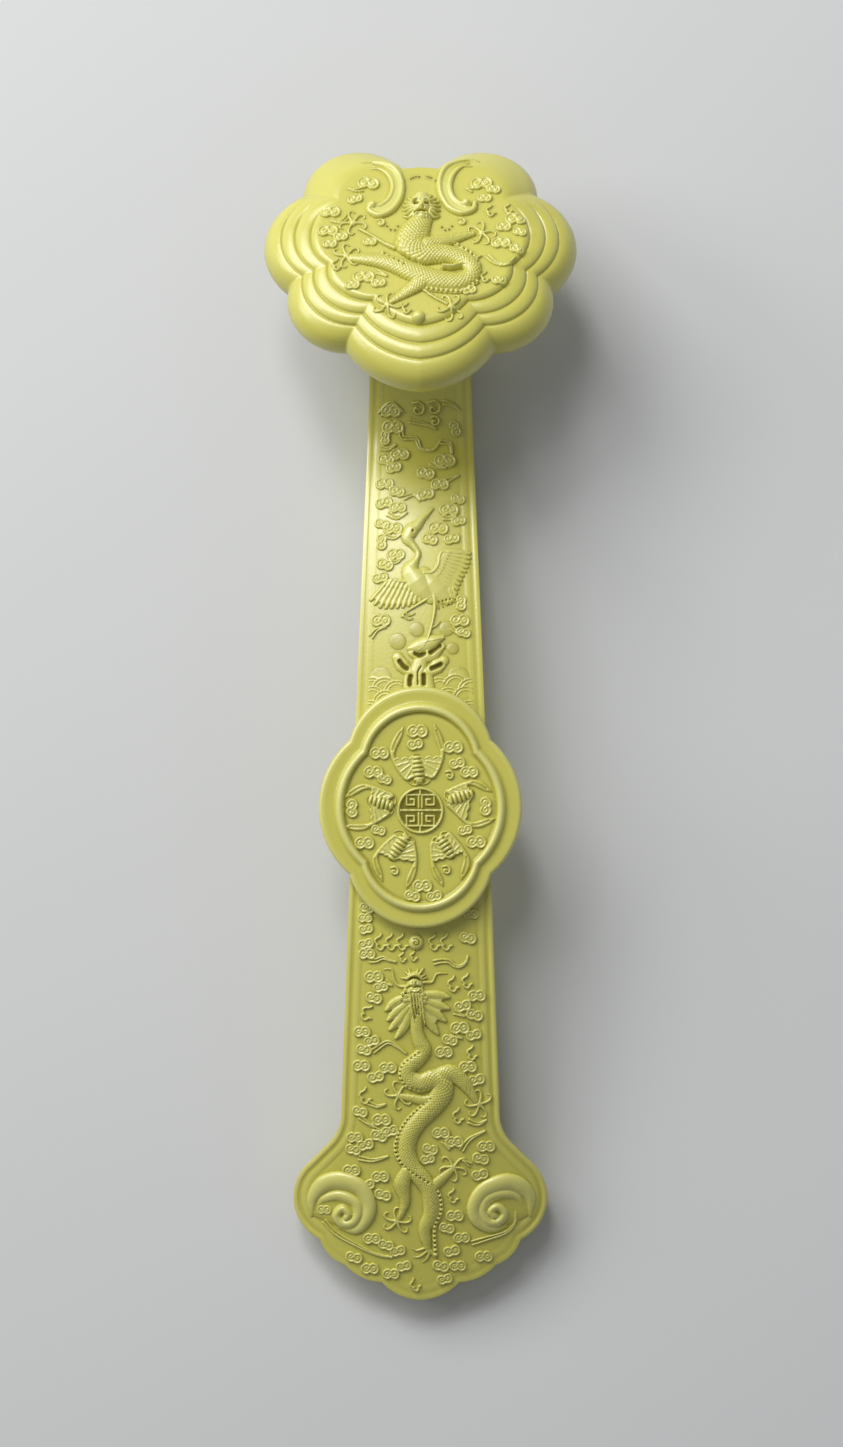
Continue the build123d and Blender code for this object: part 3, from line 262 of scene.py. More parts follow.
def shell_point(x, y, depth):
    """Point under plan (x, y) of the side profile, moved in by depth.

    The profile is a circle about the arch's or the neck's centre, then a straight stem. The walls are upright
    on the tail's half and square to the profile towards the neck.
    """
    x, y, depth = np.broadcast_arrays(np.asarray(x, float), np.asarray(y, float), np.asarray(depth, float))
    stem = y > NECK_END_Y
    neck = (y > NECK_START_Y) & ~stem
    arch = (y > ARCH_Y) & ~neck & ~stem
    centre_y = np.where(neck, NECK_CY, ARCH_Y)
    centre_z = np.where(neck, NECK_CZ, np.where(arch, ARCH_Z - NECK_ARCH, ARCH_Z - TAIL_ARCH))
    radius = np.where(neck, NECK_R, np.where(arch, NECK_ARCH, TAIL_ARCH))
    side = np.where(neck, -1.0, 1.0)
    normal_y = np.clip(side * (y - centre_y) / radius, -1, 1)
    moved = y - ease(y, LEAN_FROM, LEAN_TO) * depth * normal_y
    rise = np.sqrt(np.clip((radius - side * depth) ** 2 - (moved - centre_y) ** 2, 0.0, None))
    z = centre_z + side * rise
    along = (y - NECK_END_Y) / math.cos(STEM_HEADING)
    stem_y = y + depth * math.sin(STEM_HEADING)
    stem_z = NECK_END_Z + along * math.sin(STEM_HEADING) - depth * math.cos(STEM_HEADING)
    return np.stack([x, np.where(stem, stem_y, moved), np.where(stem, stem_z, z)], axis=-1)


def face_map(x, y, h):
    """Point of the shaft's sunk field over plan (x, y), raised by h."""
    return shell_point(x, y, crown(x) + FIELD_DROP - h)


def head_map(u, v, w):
    """Point of the head: u across, v up its tilted face, w out from its back."""
    y = HEAD_Y + v * math.cos(HEAD_TILT) + w * math.sin(HEAD_TILT)
    z = HEAD_Z - v * math.sin(HEAD_TILT) + w * math.cos(HEAD_TILT)
    return np.stack(np.broadcast_arrays(u, y, z), axis=-1)


def plaque_map(x, y, h):
    """Point of the medallion's field, raised by h."""
    return np.stack(np.broadcast_arrays(x, ARCH_Y + y, ARCH_Z + MEDALLION_RISE + h), axis=-1)


def on_shaft(points):
    """Plan millimetres of points measured on the photograph: the scale follows the face's height."""
    points = np.asarray(points, float)
    axis = SHEET_MIDDLE[0] + TAIL_SHIFT * ease(points[:, 1], *TAIL_SHIFT_ROWS)
    y = CAMERA_XY[1] + (SHEET_MIDDLE[1] - points[:, 1]) * SHEET_SCALE
    for _ in range(SCALE_ROUNDS):
        z = shell_point(0.0, y, 0.0)[..., 2]
        scale = SHEET_SCALE * (CAMERA_HEIGHT - z) / (CAMERA_HEIGHT - SHEET_HEIGHT)
        y = CAMERA_XY[1] + (SHEET_MIDDLE[1] - points[:, 1]) * scale
    return np.stack([(points[:, 0] - axis) * scale, y], axis=1)


def on_panel(points):
    """Panel millimetres of points measured on the photograph, which sees the tilted head foreshortened."""
    return (np.asarray(points, float) - PANEL_MIDDLE) * PANEL_SCALE


def on_plaque(points):
    """Medallion millimetres of points measured on the photograph."""
    return (np.asarray(points, float) - PLAQUE_MIDDLE) * PLAQUE_SCALE


def arc_through(start, middle, end, count):
    """Points of the circle through three points, from the first to the last, at equal angles."""
    a, b, c = (np.asarray(p, float) for p in (start, middle, end))
    m = np.array([b - a, c - a]) * 2
    centre = np.linalg.solve(m, np.array([b @ b - a @ a, c @ c - a @ a]))
    radius = np.linalg.norm(a - centre)
    t0, t1, t2 = (math.atan2(*(p - centre)[::-1]) for p in (a, b, c))
    sweep = (t2 - t0) % (2 * math.pi)
    if (t1 - t0) % (2 * math.pi) > sweep:
        sweep -= 2 * math.pi
    t = t0 + sweep * np.linspace(0, 1, count)
    return centre + radius * np.stack([np.cos(t), np.sin(t)], axis=1)


def lengths(points):
    """Length along a polyline at each of its points."""
    return np.concatenate([[0], np.cumsum(np.linalg.norm(np.diff(points, axis=0), axis=1))])


def resample(points, count):
    """The same polyline with points at equal steps of its length."""
    length = lengths(points)
    at = np.linspace(0, length[-1], count)
    return np.stack([np.interp(at, length, points[:, k]) for k in range(points.shape[1])], axis=1)


def curve(points):
    """Catmull-Rom curve through points, at equal steps."""
    fine = p = np.asarray(points, float)
    if len(p) > 2:
        p = np.concatenate([[2 * p[0] - p[1]], p, [2 * p[-1] - p[-2]]])
        t = np.linspace(0, 1, CURVE_PARTS, endpoint=False)[:, None, None]
        a, b, c, d = p[:-3], p[1:-2], p[2:-1], p[3:]
        q = 0.5 * (2 * b + (c - a) * t + (2 * a - 5 * b + 4 * c - d) * t**2 + (3 * b - a - 3 * c + d) * t**3)
        fine = np.concatenate([q.transpose(1, 0, 2).reshape(-1, p.shape[1]), p[-2:-1]])
    length = np.linalg.norm(np.diff(fine, axis=0), axis=1).sum()
    return resample(fine, max(2, int(length / CURVE_STEP) + 1))


def sideways(path):
    """Unit normals of a curve, to its left."""
    normal = np.gradient(path, axis=0)[:, ::-1] * (-1, 1)
    return normal / np.linalg.norm(normal, axis=1, keepdims=True)


def half_plan():
    """Right half of the shaft's plan, from the tail's tip to the stem's top, with finer steps on the tail."""
    tail = np.array(((0.0, 0.0), *TAIL_NOTCHES)) + (0, TAIL_Y)
    parts = []
    for a, b in zip(tail[:-1], tail[1:]):
        out = np.array([b[1] - a[1], a[0] - b[0]]) / np.linalg.norm(b - a)
        parts.append(arc_through(a, (a + b) / 2 + out * TAIL_BULGE, b, NOTCH_STEPS)[:-1])
    shoulder = np.array([TAIL_SHOULDER[0], TAIL_Y + TAIL_SHOULDER[1]])
    parts.append(arc_through(tail[-1], (TAIL_LOBE[0], TAIL_Y + TAIL_LOBE[1]), shoulder, LOBE_STEPS)[:-1])
    corner, top = np.array([FLARE_HALF, FLARE_Y]), np.array([shaft_half(TOP_Y), TOP_Y])
    one = (shoulder - corner) / np.linalg.norm(shoulder - corner)
    two = (top - corner) / np.linalg.norm(top - corner)
    half = math.acos(one @ two) / 2
    start, end = (corner + way * (FLARE_FILLET / math.tan(half)) for way in (one, two))
    middle = (one + two) / np.linalg.norm(one + two)
    middle = corner + middle * (FLARE_FILLET / math.sin(half) - FLARE_FILLET)
    parts.append(np.linspace(shoulder, start, FLANK_STEPS)[:-1])
    parts.append(arc_through(start, middle, end, FILLET_STEPS)[:-1])
    parts.append(np.linspace(end, top, SHAFT_STEPS))
    return np.concatenate(parts)


def inward(path):
    """Unit normals of the right half plan, towards the axis, smoothed over a few points."""
    tangent = np.gradient(path, axis=0)
    kernel = np.ones(SMOOTH_POINTS) / SMOOTH_POINTS
    padded = np.pad(tangent, ((SMOOTH_POINTS // 2,) * 2, (0, 0)), mode="edge")
    tangent = np.stack([np.convolve(padded[:, k], kernel, "valid") for k in range(2)], axis=1)
    normal = np.stack([-tangent[:, 1], tangent[:, 0]], axis=1)
    normal[0] = (0.0, 1.0)
    return normal / np.linalg.norm(normal, axis=1, keepdims=True)


def heart_line(edge):
    """Points on the axis that rows from the edge run to: level with it, but not below the tail's heart."""
    return np.stack([np.zeros(len(edge)), np.maximum(edge[:, 1], TAIL_Y + TAIL_HEART)], axis=1)


def both_sides(values):
    """Values from the edge to the axis, then back to the other edge."""
    return np.concatenate([values, values[-2::-1]])


def shaft_rows(insets, steps):
    """Plan points of rows across the shaft: from the left edge through the axis to the right edge.

    The first columns lie at the insets from the edge, the others at equal steps from there to the axis. At the
    tail the rows fold towards a point on the axis, so that the first row is the middle line of the tail's end.
    """
    path = half_plan()
    normal, heart = inward(path), heart_line(path)
    rings = [path + normal * d for d in insets]
    rings += [rings[len(insets) - 1] * (1 - s) + heart * s for s in np.linspace(0, 1, steps)[1:]]
    right = np.stack(rings, axis=1)
    right[..., 0] = np.maximum(right[..., 0], 0.0)
    return np.concatenate([right * (-1, 1), right[:, -2::-1]], axis=1)


def rim_height(d, bead):
    """Mouldings by distance from the edge: a rounded bead, a shallow groove, a low rib, a line and the sunk field."""
    rounded = np.sqrt(np.clip(1 - ((d - bead * BEAD_MIDDLE) / (bead * BEAD_SPAN)) ** 2, 0, 1)) * BEAD_HEIGHT - BEAD_FOOT
    groove = -GROOVE_DEPTH * np.exp(-(((d - bead - RIM_GROOVE) / GROOVE_SPAN) ** 2))
    rib = RIB_HEIGHT * np.sqrt(np.clip(1 - ((d - bead - RIM_RIB) / RIB_SPAN) ** 2, 0, 1))
    line = -FIELD_LINE_DEPTH * np.exp(-(((d - FIELD_INSET) / FIELD_LINE_SPAN) ** 2))
    inner = -FIELD_DROP + groove + rib + line
    return np.where(d < bead, np.maximum(rounded, inner), inner)


def head_outline():
    """Closed ring of the head's outline: arcs of its right half, then their mirror images."""
    parts = [arc_through(*(np.array(p) * HEAD_HALF for p in lobe), HEAD_LOBE_STEPS)[:-1] for lobe in HEAD_LOBES]
    right = np.concatenate(parts)
    crest = np.array([HEAD_LOBES[-1][2]]) * HEAD_HALF
    return np.concatenate([right, crest, right[1:][::-1] * (-1, 1)])


def quatrefoil_ring(inset):
    """Closed ring of the medallion's four arcs, drawn in by an inset that keeps its proportions."""
    half_x, half_y = MEDALLION_HALF[0] - inset, MEDALLION_HALF[1] - inset
    nx = MEDALLION_NOTCH[0] * half_x / MEDALLION_HALF[0]
    ny = MEDALLION_NOTCH[1] * half_y / MEDALLION_HALF[1]
    corners = [(nx, -ny), (nx, ny), (-nx, ny), (-nx, -ny), (nx, -ny)]
    tops = [(half_x, 0), (0, half_y), (-half_x, 0), (0, -half_y)]
    arcs = [arc_through(a, top, b, MEDALLION_LOBE_STEPS)[:-1] for a, top, b in zip(corners, tops, corners[1:])]
    return np.concatenate(arcs)


def tier_profile():
    """Insets, heights and lifts of the tiers: each rises from its foot as a quarter of an ellipse."""
    turn = np.linspace(0, math.pi / 2, len(TIER_LIFT))
    rows = [np.stack([foot + (end - foot) * (1 - np.cos(turn)), low + (high - low) * np.sin(turn), TIER_LIFT], axis=1)
            for foot, end, low, high in TIER_STEPS]
    return np.concatenate(rows)


def cap_ring():
    """Outline of the head, how wide the tiers lie along it and how far they melt into the smooth top lobes."""
    outline = head_outline()
    notch = np.exp(-((outline[:, 0] / CAP_GATHER_SPAN) ** 2))
    gather = CAP_GATHER * notch * ease(outline[:, 1], *CAP_GATHER_ROWS)
    narrow = (1 - gather) * (CAP_WIDE + CAP_FOOT * ease(-outline[:, 1], *CAP_FOOT_ROWS))
    step = np.arange(len(outline))
    melt = ease(np.minimum(step, len(outline) - step), MELT_FROM, MELT_TO)
    return outline, narrow, melt


def cap_profile(inset, melt):
    """Height and lift of the cap's top: stepped tiers, melting into one smooth cushion."""
    tiers = np.concatenate([HEAD_WALL[-WALL_TOP_ROWS:], tier_profile()])
    stepped = np.interp(inset, tiers[:, 0], tiers[:, 1])
    low = ease(CUSHION_START, *CUSHION_SPAN)
    swell = np.clip((ease(inset, *CUSHION_SPAN) - low) / (1 - low), 0, 1)
    smooth = tiers[0, 1] + (PANEL_TOP - tiers[0, 1]) * swell
    lift = np.interp(inset, tiers[:, 0], tiers[:, 2])
    return stepped * (1 - melt) + smooth * melt, lift * (1 - melt) + CUSHION_LIFT * melt


def panel_map(u, v, h):
    """Point of the head's top, raised by h: its height follows from its share of the way out to the outline."""
    outline, narrow, melt = cap_ring()
    angle = np.arctan2(outline[:, 0], -outline[:, 1])
    order = np.argsort(angle)
    at = np.arctan2(u, -v)
    reach, wide, soft = (np.interp(at, angle[order], values[order])
                         for values in (np.hypot(outline[:, 0], outline[:, 1]), narrow, melt))
    inset = (1 - np.hypot(u, v) / reach) * HEAD_HALF[0] / wide
    return head_map(u, v, cap_profile(inset, soft)[0] + h)


def put_mesh(name, points, faces, lift, nodes, slot):
    """Mesh object from vertices in millimetres, lists of quads or triangles and a lift value at each vertex."""
    mesh = bpy.data.meshes.new(name)
    rows = [np.asarray(f, dtype=np.int32) for f in faces]
    loops = np.concatenate([r.ravel() for r in rows])
    sizes = np.concatenate([np.full(len(r), r.shape[1], dtype=np.int32) for r in rows])
    starts = np.concatenate([[0], np.cumsum(sizes)[:-1]]).astype(np.int32)
    mesh.vertices.add(len(points))
    mesh.vertices.foreach_set("co", (np.asarray(points, dtype=np.float32) * MM).ravel())
    mesh.loops.add(len(loops))
    mesh.loops.foreach_set("vertex_index", loops)
    mesh.polygons.add(len(sizes))
    mesh.polygons.foreach_set("loop_start", starts)
    mesh.polygons.foreach_set("use_smooth", np.ones(len(sizes), dtype=bool))
    mesh.attributes.new("lift", "FLOAT", "POINT").data.foreach_set("value", lift.astype(np.float32))
    mesh.update(calc_edges=True)
    mesh.validate()
    mesh.materials.append(finish_of(slot))
    piece = bpy.data.objects.new(name, mesh)
    bpy.context.scene.collection.objects.link(piece)
    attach(piece, "root")
    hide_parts(*nodes)


def put_rings(name, rings, lift, nodes, slot, flip=False, folded=False):
    """Closed skin over a stack of rings, kept on the table, with a fan at each end.

    A folded stack needs no fan at its first ring, which is a line there and back.
    """
    count, around = rings.shape[:2]
    index = np.arange(count * around).reshape(count, around)
    ahead = np.roll(index, -1, axis=1)
    faces = [np.stack([index[:-1], ahead[:-1], ahead[1:], index[1:]], axis=-1).reshape(-1, 4)]
    ends = []
    if not folded:
        ends.append(rings[0].mean(0))
        faces.append(np.stack([np.full(around, index.size), ahead[0], index[0]], axis=1))
    faces.append(np.stack([np.full(around, index.size + len(ends)), index[-1], ahead[-1]], axis=1))
    ends.append(rings[-1].mean(0))
    if flip:
        faces = [f[:, ::-1] for f in faces]
    points = np.concatenate([rings.reshape(-1, 3), ends])
    points[:, 2] = np.maximum(points[:, 2], 0.0)
    lifts = np.full(len(points), GROUND_LIFT)
    lifts[: index.size] = np.broadcast_to(lift, index.shape).ravel()
    put_mesh(name, points, faces, lifts, nodes, slot)


class Sheet:
    """A height drawing over a rectangle: strokes and fills raise it, and it becomes a closed relief skin."""

    def __init__(self, low, high):
        """Empty drawing between two corners, with equal steps both ways."""
        self.x = np.arange(low[0], high[0] + SHEET_STEP, SHEET_STEP)
        self.y = np.arange(low[1], high[1] + SHEET_STEP, SHEET_STEP)
        self.h = np.zeros((len(self.x), len(self.y)), dtype=np.float32)
        # Painted shade: how much darker each cell's glaze is drawn
        self.shade = np.zeros_like(self.h)

    def window(self, low, high):
        """Slices of the grid that hold a box."""
        i = np.searchsorted(self.x, [low[0], high[0]])
        j = np.searchsorted(self.y, [low[1], high[1]])
        return slice(max(i[0] - 1, 0), i[1] + 1), slice(max(j[0] - 1, 0), j[1] + 1)

    def bump(self, points, width, height, power, pattern, smooth):
        """Window, height and pattern of a rounded strand: height * (1 - (distance / width)^2)^power along a curve."""
        path = curve(points) if smooth else np.asarray(points, float)
        share = np.linspace(0, 1, len(path))
        w, top = (np.interp(share, np.linspace(0, 1, np.size(v)), np.atleast_1d(v)) for v in (width, height))
        si, sj = self.window(path.min(0) - w.max(), path.max(0) + w.max())
        gx, gy = self.x[si, None], self.y[None, sj]
        best = np.full((gx.shape[0], gy.shape[1]), np.inf)
        which = np.zeros(best.shape, dtype=int)
        for chunk in np.array_split(np.arange(len(path)), max(1, len(path) // POINTS_AT_ONCE)):
            d2 = (gx[..., None] - path[chunk, 0]) ** 2 + (gy[..., None] - path[chunk, 1]) ** 2
            k = d2.argmin(-1)
            d = np.take_along_axis(d2, k[..., None], -1)[..., 0]
            nearer = d < best
            which[nearer] = chunk[k[nearer]]
            best[nearer] = d[nearer]
        raised = top[which] * np.clip(1 - best / w[which] ** 2, 0, None) ** power
        relief = np.ones_like(raised)
        if pattern is not None:
            tangent = np.gradient(path, axis=0)
            tangent = tangent / np.maximum(np.linalg.norm(tangent, axis=1, keepdims=True), TINY)
            dx, dy = gx - path[which, 0], gy - path[which, 1]
            across = (tangent[which, 0] * dy - tangent[which, 1] * dx) / w[which]
            along = lengths(path)[which] + tangent[which, 0] * dx + tangent[which, 1] * dy
            relief = pattern(along, across)
        return si, sj, raised, relief

    def stroke(self, points, width, height, power=STRAND_POWER, pattern=None, smooth=True):
        """Raises a strand. Width and height may be lists spread along the curve.

        pattern(s, t) multiplies the height, with s the length along the curve and t the signed distance across it
        over the width, and its low places get painted shade.
        """
        si, sj, raised, relief = self.bump(points, width, height, power, pattern, smooth)
        higher = raised * relief > self.h[si, sj]
        self.h[si, sj] = np.where(higher, raised * relief, self.h[si, sj])
        self.shade[si, sj] = np.where(higher, np.clip((1 - relief) * PATTERN_SHADE, 0, 1), self.shade[si, sj])

    def dot(self, point, radius, height, power=DOT_POWER):
        """Raises a dome."""
        self.stroke([np.ravel(point)] * 2, radius, height, power, smooth=False)

    def fill(self, polygon, height, soft):
        """Raises a flat shape with a rounded edge: even-odd test inside, distance to its sides for the edge."""
        p = np.asarray(polygon, float)
        q = np.roll(p, -1, axis=0)
        si, sj = self.window(p.min(0), p.max(0))
        gx, gy = self.x[si, None, None], self.y[None, sj, None]
        side = q - p
        with np.errstate(divide="ignore", invalid="ignore"):
            cross_x = p[:, 0] + (gy - p[:, 1]) * side[:, 0] / side[:, 1]
        inside = (((p[:, 1] > gy) != (q[:, 1] > gy)) & (gx < cross_x)).sum(-1) % 2 == 1
        t = ((gx - p[:, 0]) * side[:, 0] + (gy - p[:, 1]) * side[:, 1]) / np.maximum((side**2).sum(1), TINY)
        t = np.clip(t, 0, 1)
        d2 = ((gx - p[:, 0] - t * side[:, 0]) ** 2 + (gy - p[:, 1] - t * side[:, 1]) ** 2).min(-1)
        edge = np.clip(np.sqrt(d2) / soft, 0, 1)
        bump = np.where(inside, height * np.sqrt(1 - (1 - edge) ** 2), 0)
        self.h[si, sj] = np.maximum(self.h[si, sj], bump)

    def carve(self, points, width, depth, tone=1.0):
        """Lowers what is already raised along a curve, as a round-bottomed line painted dark as shade by its tone."""
        si, sj, cut, _ = self.bump(points, width, depth, 1.0, None, len(points) > 2)
        on = self.h[si, sj] > 0
        self.h[si, sj] = np.where(on, np.maximum(self.h[si, sj] - cut, CARVE_FLOOR), self.h[si, sj])
        held = np.maximum(self.shade[si, sj], tone * np.clip(CARVE_SHADE * cut / depth, 0, 1))
        self.shade[si, sj] = np.where(on, held, self.shade[si, sj])

    def pit(self, point, radius, depth, tone=1.0):
        """Lowers a round spot, painted dark as shade."""
        self.carve([np.ravel(point)] * 2, radius, depth, tone)

    def skin(self, place, scale, sink):
        """Closed skin: the raised cells on top, the same cells sunk under the ground, walls between their edges."""
        raised = self.h > RAISED
        cells = raised[:-1, :-1] | raised[1:, :-1] | raised[:-1, 1:] | raised[1:, 1:]
        number = np.arange(self.h.size).reshape(self.h.shape)
        i, j = np.nonzero(cells)
        quads = np.stack([number[i, j], number[i + 1, j], number[i + 1, j + 1], number[i, j + 1]], axis=1)
        used, flat = np.unique(quads, return_inverse=True)
        quads = flat.reshape(-1, 4)
        ui, uj = np.unravel_index(used, self.h.shape)
        x, y = self.x[ui], self.y[uj]
        height = np.where(raised[ui, uj], self.h[ui, uj] * scale, -sink / 2)
        total = len(used)
        edges = np.concatenate([quads[:, [k, (k + 1) % 4]] for k in range(4)])
        key = np.sort(edges, axis=1) @ np.array([total, 1])
        _, first, counts = np.unique(key, return_index=True, return_counts=True)
        rim = edges[first[counts == 1]]
        walls = np.stack([rim[:, 1], rim[:, 0], rim[:, 0] + total, rim[:, 1] + total], axis=1)
        points = np.concatenate([place(x, y, height), place(x, y, np.full(total, -sink))])
        faces = [quads, quads[:, ::-1] + total, walls]
        return points, faces, np.tile(height, 2), np.tile(self.shade[ui, uj], 2)


def blur(values, cells):
    """Box blur done twice, by running sums along both axes."""
    out = values.astype(float)
    width = 2 * cells + 1
    for axis in (0, 1, 0, 1):
        padding = [(0, 0), (0, 0)]
        padding[axis] = (cells + 1, cells)
        total = np.cumsum(np.pad(out, padding, mode="edge"), axis=axis)
        high = np.take(total, np.arange(width, total.shape[axis]), axis=axis)
        low = np.take(total, np.arange(0, total.shape[axis] - width), axis=axis)
        out = (high - low) / width
    return out


def pooled_and_shaded(drawings, x, y):
    """How near relief is, 0 to 1, which darkens the ground beside it as glaze pooling and painted shade: a blurred mask
    of the drawings, read off bilinearly.
    """
    sheets = list(drawings.values())
    near = blur(np.max([s.h for s in sheets], axis=0) > POOL_SHADE_FROM, POOL_SHADE_CELLS)
    fx, fy = (np.clip((v - line[0]) / SHEET_STEP, 0, len(line) - GRID_END)
              for v, line in ((x, sheets[0].x), (y, sheets[0].y)))
    i, j = fx.astype(int), fy.astype(int)
    a, b = fx - i, fy - j
    return ((near[i, j] * (1 - a) + near[i + 1, j] * a) * (1 - b)
            + (near[i, j + 1] * (1 - a) + near[i + 1, j + 1] * a) * b)


# Clouds by kind: place in the photograph's pixels, size and turn in degrees; tails that trail from them
UPPER_CLOUDS = {
    "crown": (
        (391, 411, 1.0, 0), (393, 427, 1.13, 0), (455, 428, 0.8, -70), (400, 454, 1.0, 0), (445, 460, 1.13, 0),
        (440, 484, 0.93, 0), (385, 483, 0.93, 0), (398, 507, 0.87, 0), (449, 509, 1.0, 0), (393, 528, 1.0, 0),
        (438, 528, 1.07, 0), (396, 554, 0.93, 0), (381, 620, 1.0, 0), (460, 620, 1.0, 0),
    ),
    "bean": (
        (381, 437, 0.88, 90), (382, 459, 1.04, -14), (394, 467, 0.96, 14), (426, 473, 1.12, -14),
        (426, 494, 1.04, 14), (397, 491, 0.96, -14), (382, 502, 1.04, 14), (459, 498, 0.88, -14),
        (461, 520, 0.88, 14), (380, 523, 0.88, -14), (382, 541, 0.96, 90), (430, 539, 0.96, -14),
        (452, 538, 0.96, 14), (385, 564, 1.04, -14), (378, 577, 0.96, 14), (465, 632, 0.88, -14),
        (464, 602, 0.96, 90),
    ),
    "curl": ((418, 409, 2.0, 0), (434, 408, 2.0, 0), (435, 421, 1.4, 0)),
}
UPPER_TAILS = (
    ((380, 414), (386, 406), (393, 403), (403, 411)), ((443, 402), (452, 404), (460, 410)),
    ((410, 420), (426, 424), (436, 428)),
    ((401, 428), (403, 437), (416, 438), (421, 448), (433, 449), (440, 441)),
    ((440, 441), (450, 443), (452, 452)), ((446, 480), (459, 474)), ((404, 497), (414, 494), (420, 500)),
    ((371, 636), (377, 629), (386, 626)), ((452, 627), (459, 634)), ((381, 447), (388, 448), (396, 444)),
    ((431, 462), (437, 466), (446, 467)), ((388, 513), (397, 517), (407, 512)),
    ((443, 517), (452, 517), (458, 511)), ((386, 535), (394, 537), (402, 533)),
    ((389, 561), (397, 561), (403, 556)),
)
LOWER_CLOUDS = {
    "crown": (
        (363, 918, 0.73, 0), (471, 914, 0.8, 0), (367, 954, 0.87, 0), (374, 977, 1.0, 0), (362, 1032, 0.87, 0),
        (477, 996, 0.93, 0), (460, 1028, 1.0, 0), (444, 1052, 0.93, 0), (361, 1066, 0.93, 0), (388, 1068, 0.93, 0),
        (383, 1120, 1.0, 0), (357, 1138, 0.87, 0), (355, 1171, 0.93, 0), (384, 1177, 0.93, 0), (468, 1067, 0.93, 0),
        (443, 1133, 0.93, 0), (457, 1142, 0.93, 0), (489, 1147, 0.93, 0),
    ),
    "bean": (
        (362, 908, 0.88, -14), (364, 929, 0.88, 14), (468, 938, 1.04, -14), (363, 944, 0.96, 14),
        (381, 987, 0.9, 14), (374, 998, 1.0, -14), (372, 1041, 0.96, 14), (364, 1050, 0.96, -14),
        (463, 1006, 1.04, 14), (475, 1015, 1.04, -14), (474, 1035, 0.96, 14), (450, 1040, 0.96, -14),
        (376, 1077, 1.04, 14), (356, 1112, 0.96, -14), (392, 1131, 1.04, 14), (381, 1136, 1.04, -14),
        (368, 1145, 1.04, 14), (356, 1150, 0.96, -14), (371, 1185, 0.96, 14), (387, 1195, 1.04, -14),
        (477, 1080, 1.04, 14), (433, 1149, 0.96, -14), (431, 1159, 0.88, 14), (484, 1159, 1.04, -14),
        (484, 1175, 1.04, 14),
    ),
    "flame": (
        (402, 957, 0.5, 0), (413, 956, 0.48, 0), (366, 1012, 0.85, -30), (452, 984, 0.8, 0), (466, 981, 0.75, 0),
        (471, 1053, 0.75, 0), (364, 1096, 0.85, 0), (458, 1116, 0.8, 0), (456, 1196, 0.75, 0),
    ),
}
LOWER_TAILS = (
    ((370, 960), (376, 960), (383, 957.5), (389, 959.5), (396, 961.5)),
    ((434, 962), (441, 960.5), (449, 961), (454, 965), (460, 966), (466, 962), (468, 956)),
    ((373, 1051), (387, 1042), (397, 1046), (406, 1053)), ((361, 1117), (368, 1122), (376, 1127)),
    ((362, 1158), (376, 1160), (391, 1156)), ((464, 1150), (472, 1139), (487, 1131)), ((386, 981), (392, 985)),
    ((455, 1012), (465, 1016)), ((452, 1033), (462, 1038)), ((375, 1128), (384, 1131)), ((446, 1141), (452, 1149)),
    ((368, 1102), (378, 1106), (386, 1104)), ((470, 1121), (480, 1124), (488, 1120)), ((474, 1165), (466, 1160)),
)
TAIL_CLOUDS = {
    "crown": (
        (328, 1211, 0.73, 0), (376, 1239, 0.93, 0), (374, 1269, 0.93, 0), (395, 1274, 0.87, 0),
        (459, 1216, 0.93, 0), (466, 1238, 0.87, 0), (488, 1257, 0.93, 0), (462, 1266, 0.87, 0),
    ),
    "bean": (
        (390, 1245, 0.96, -14), (402, 1251, 0.96, 14), (358, 1258, 1.04, -14), (408, 1266, 0.96, 14),
        (451, 1228, 0.96, -14), (456, 1251, 1.04, 14), (445, 1266, 1.04, -14), (449, 1279, 0.96, 14),
    ),
    "flame": ((418, 1285, 0.7, 20),),
}
TAIL_TAILS = (
    ((328, 1222), (340, 1234), (360, 1245), (380, 1254), (396, 1257)),
    ((476, 1243), (490, 1239), (510, 1233), (519, 1224), (520, 1213)),
)
HEAD_CLOUDS = {
    "crown": (
        (365, 183, 1.25, -10), (327, 212, 1.15, 0), (325, 231, 1.15, 0), (361, 277, 1.25, 0), (479, 183, 1.25, 8),
        (513, 219, 1.2, 0), (498, 243, 1.1, 0),
    ),
    "bean": (
        (352, 199, 1.0, 20), (338, 237, 0.95, 10), (327, 244, 0.95, 0), (367, 242, 0.9, 0), (350, 285, 0.95, 0),
        (376, 283, 0.95, 10), (491, 189, 0.95, -10), (482, 198, 0.95, 0), (501, 227, 1.0, 0), (517, 232, 0.9, -15),
        (514, 249, 1.0, -20), (496, 280, 1.0, 0), (466, 290, 0.95, 10),
    ),
    "curl": ((378, 223, 1.2, 0), (459, 222, 1.2, 0)),
    "flame": (
        (333, 265, 0.75, 0), (487, 211, 0.75, 0), (505, 209, 0.65, 0), (481, 277, 0.7, 0), (403, 308, 0.7, 0),
    ),
}
HEAD_TAILS = (
    ((359, 189), (352, 190), (345, 188)), ((484, 256), (493, 263), (504, 264), (512, 257)),
    ((470, 190), (464, 188)), ((345, 216), (338, 222), (328, 221)), ((375, 272), (384, 276)),
)
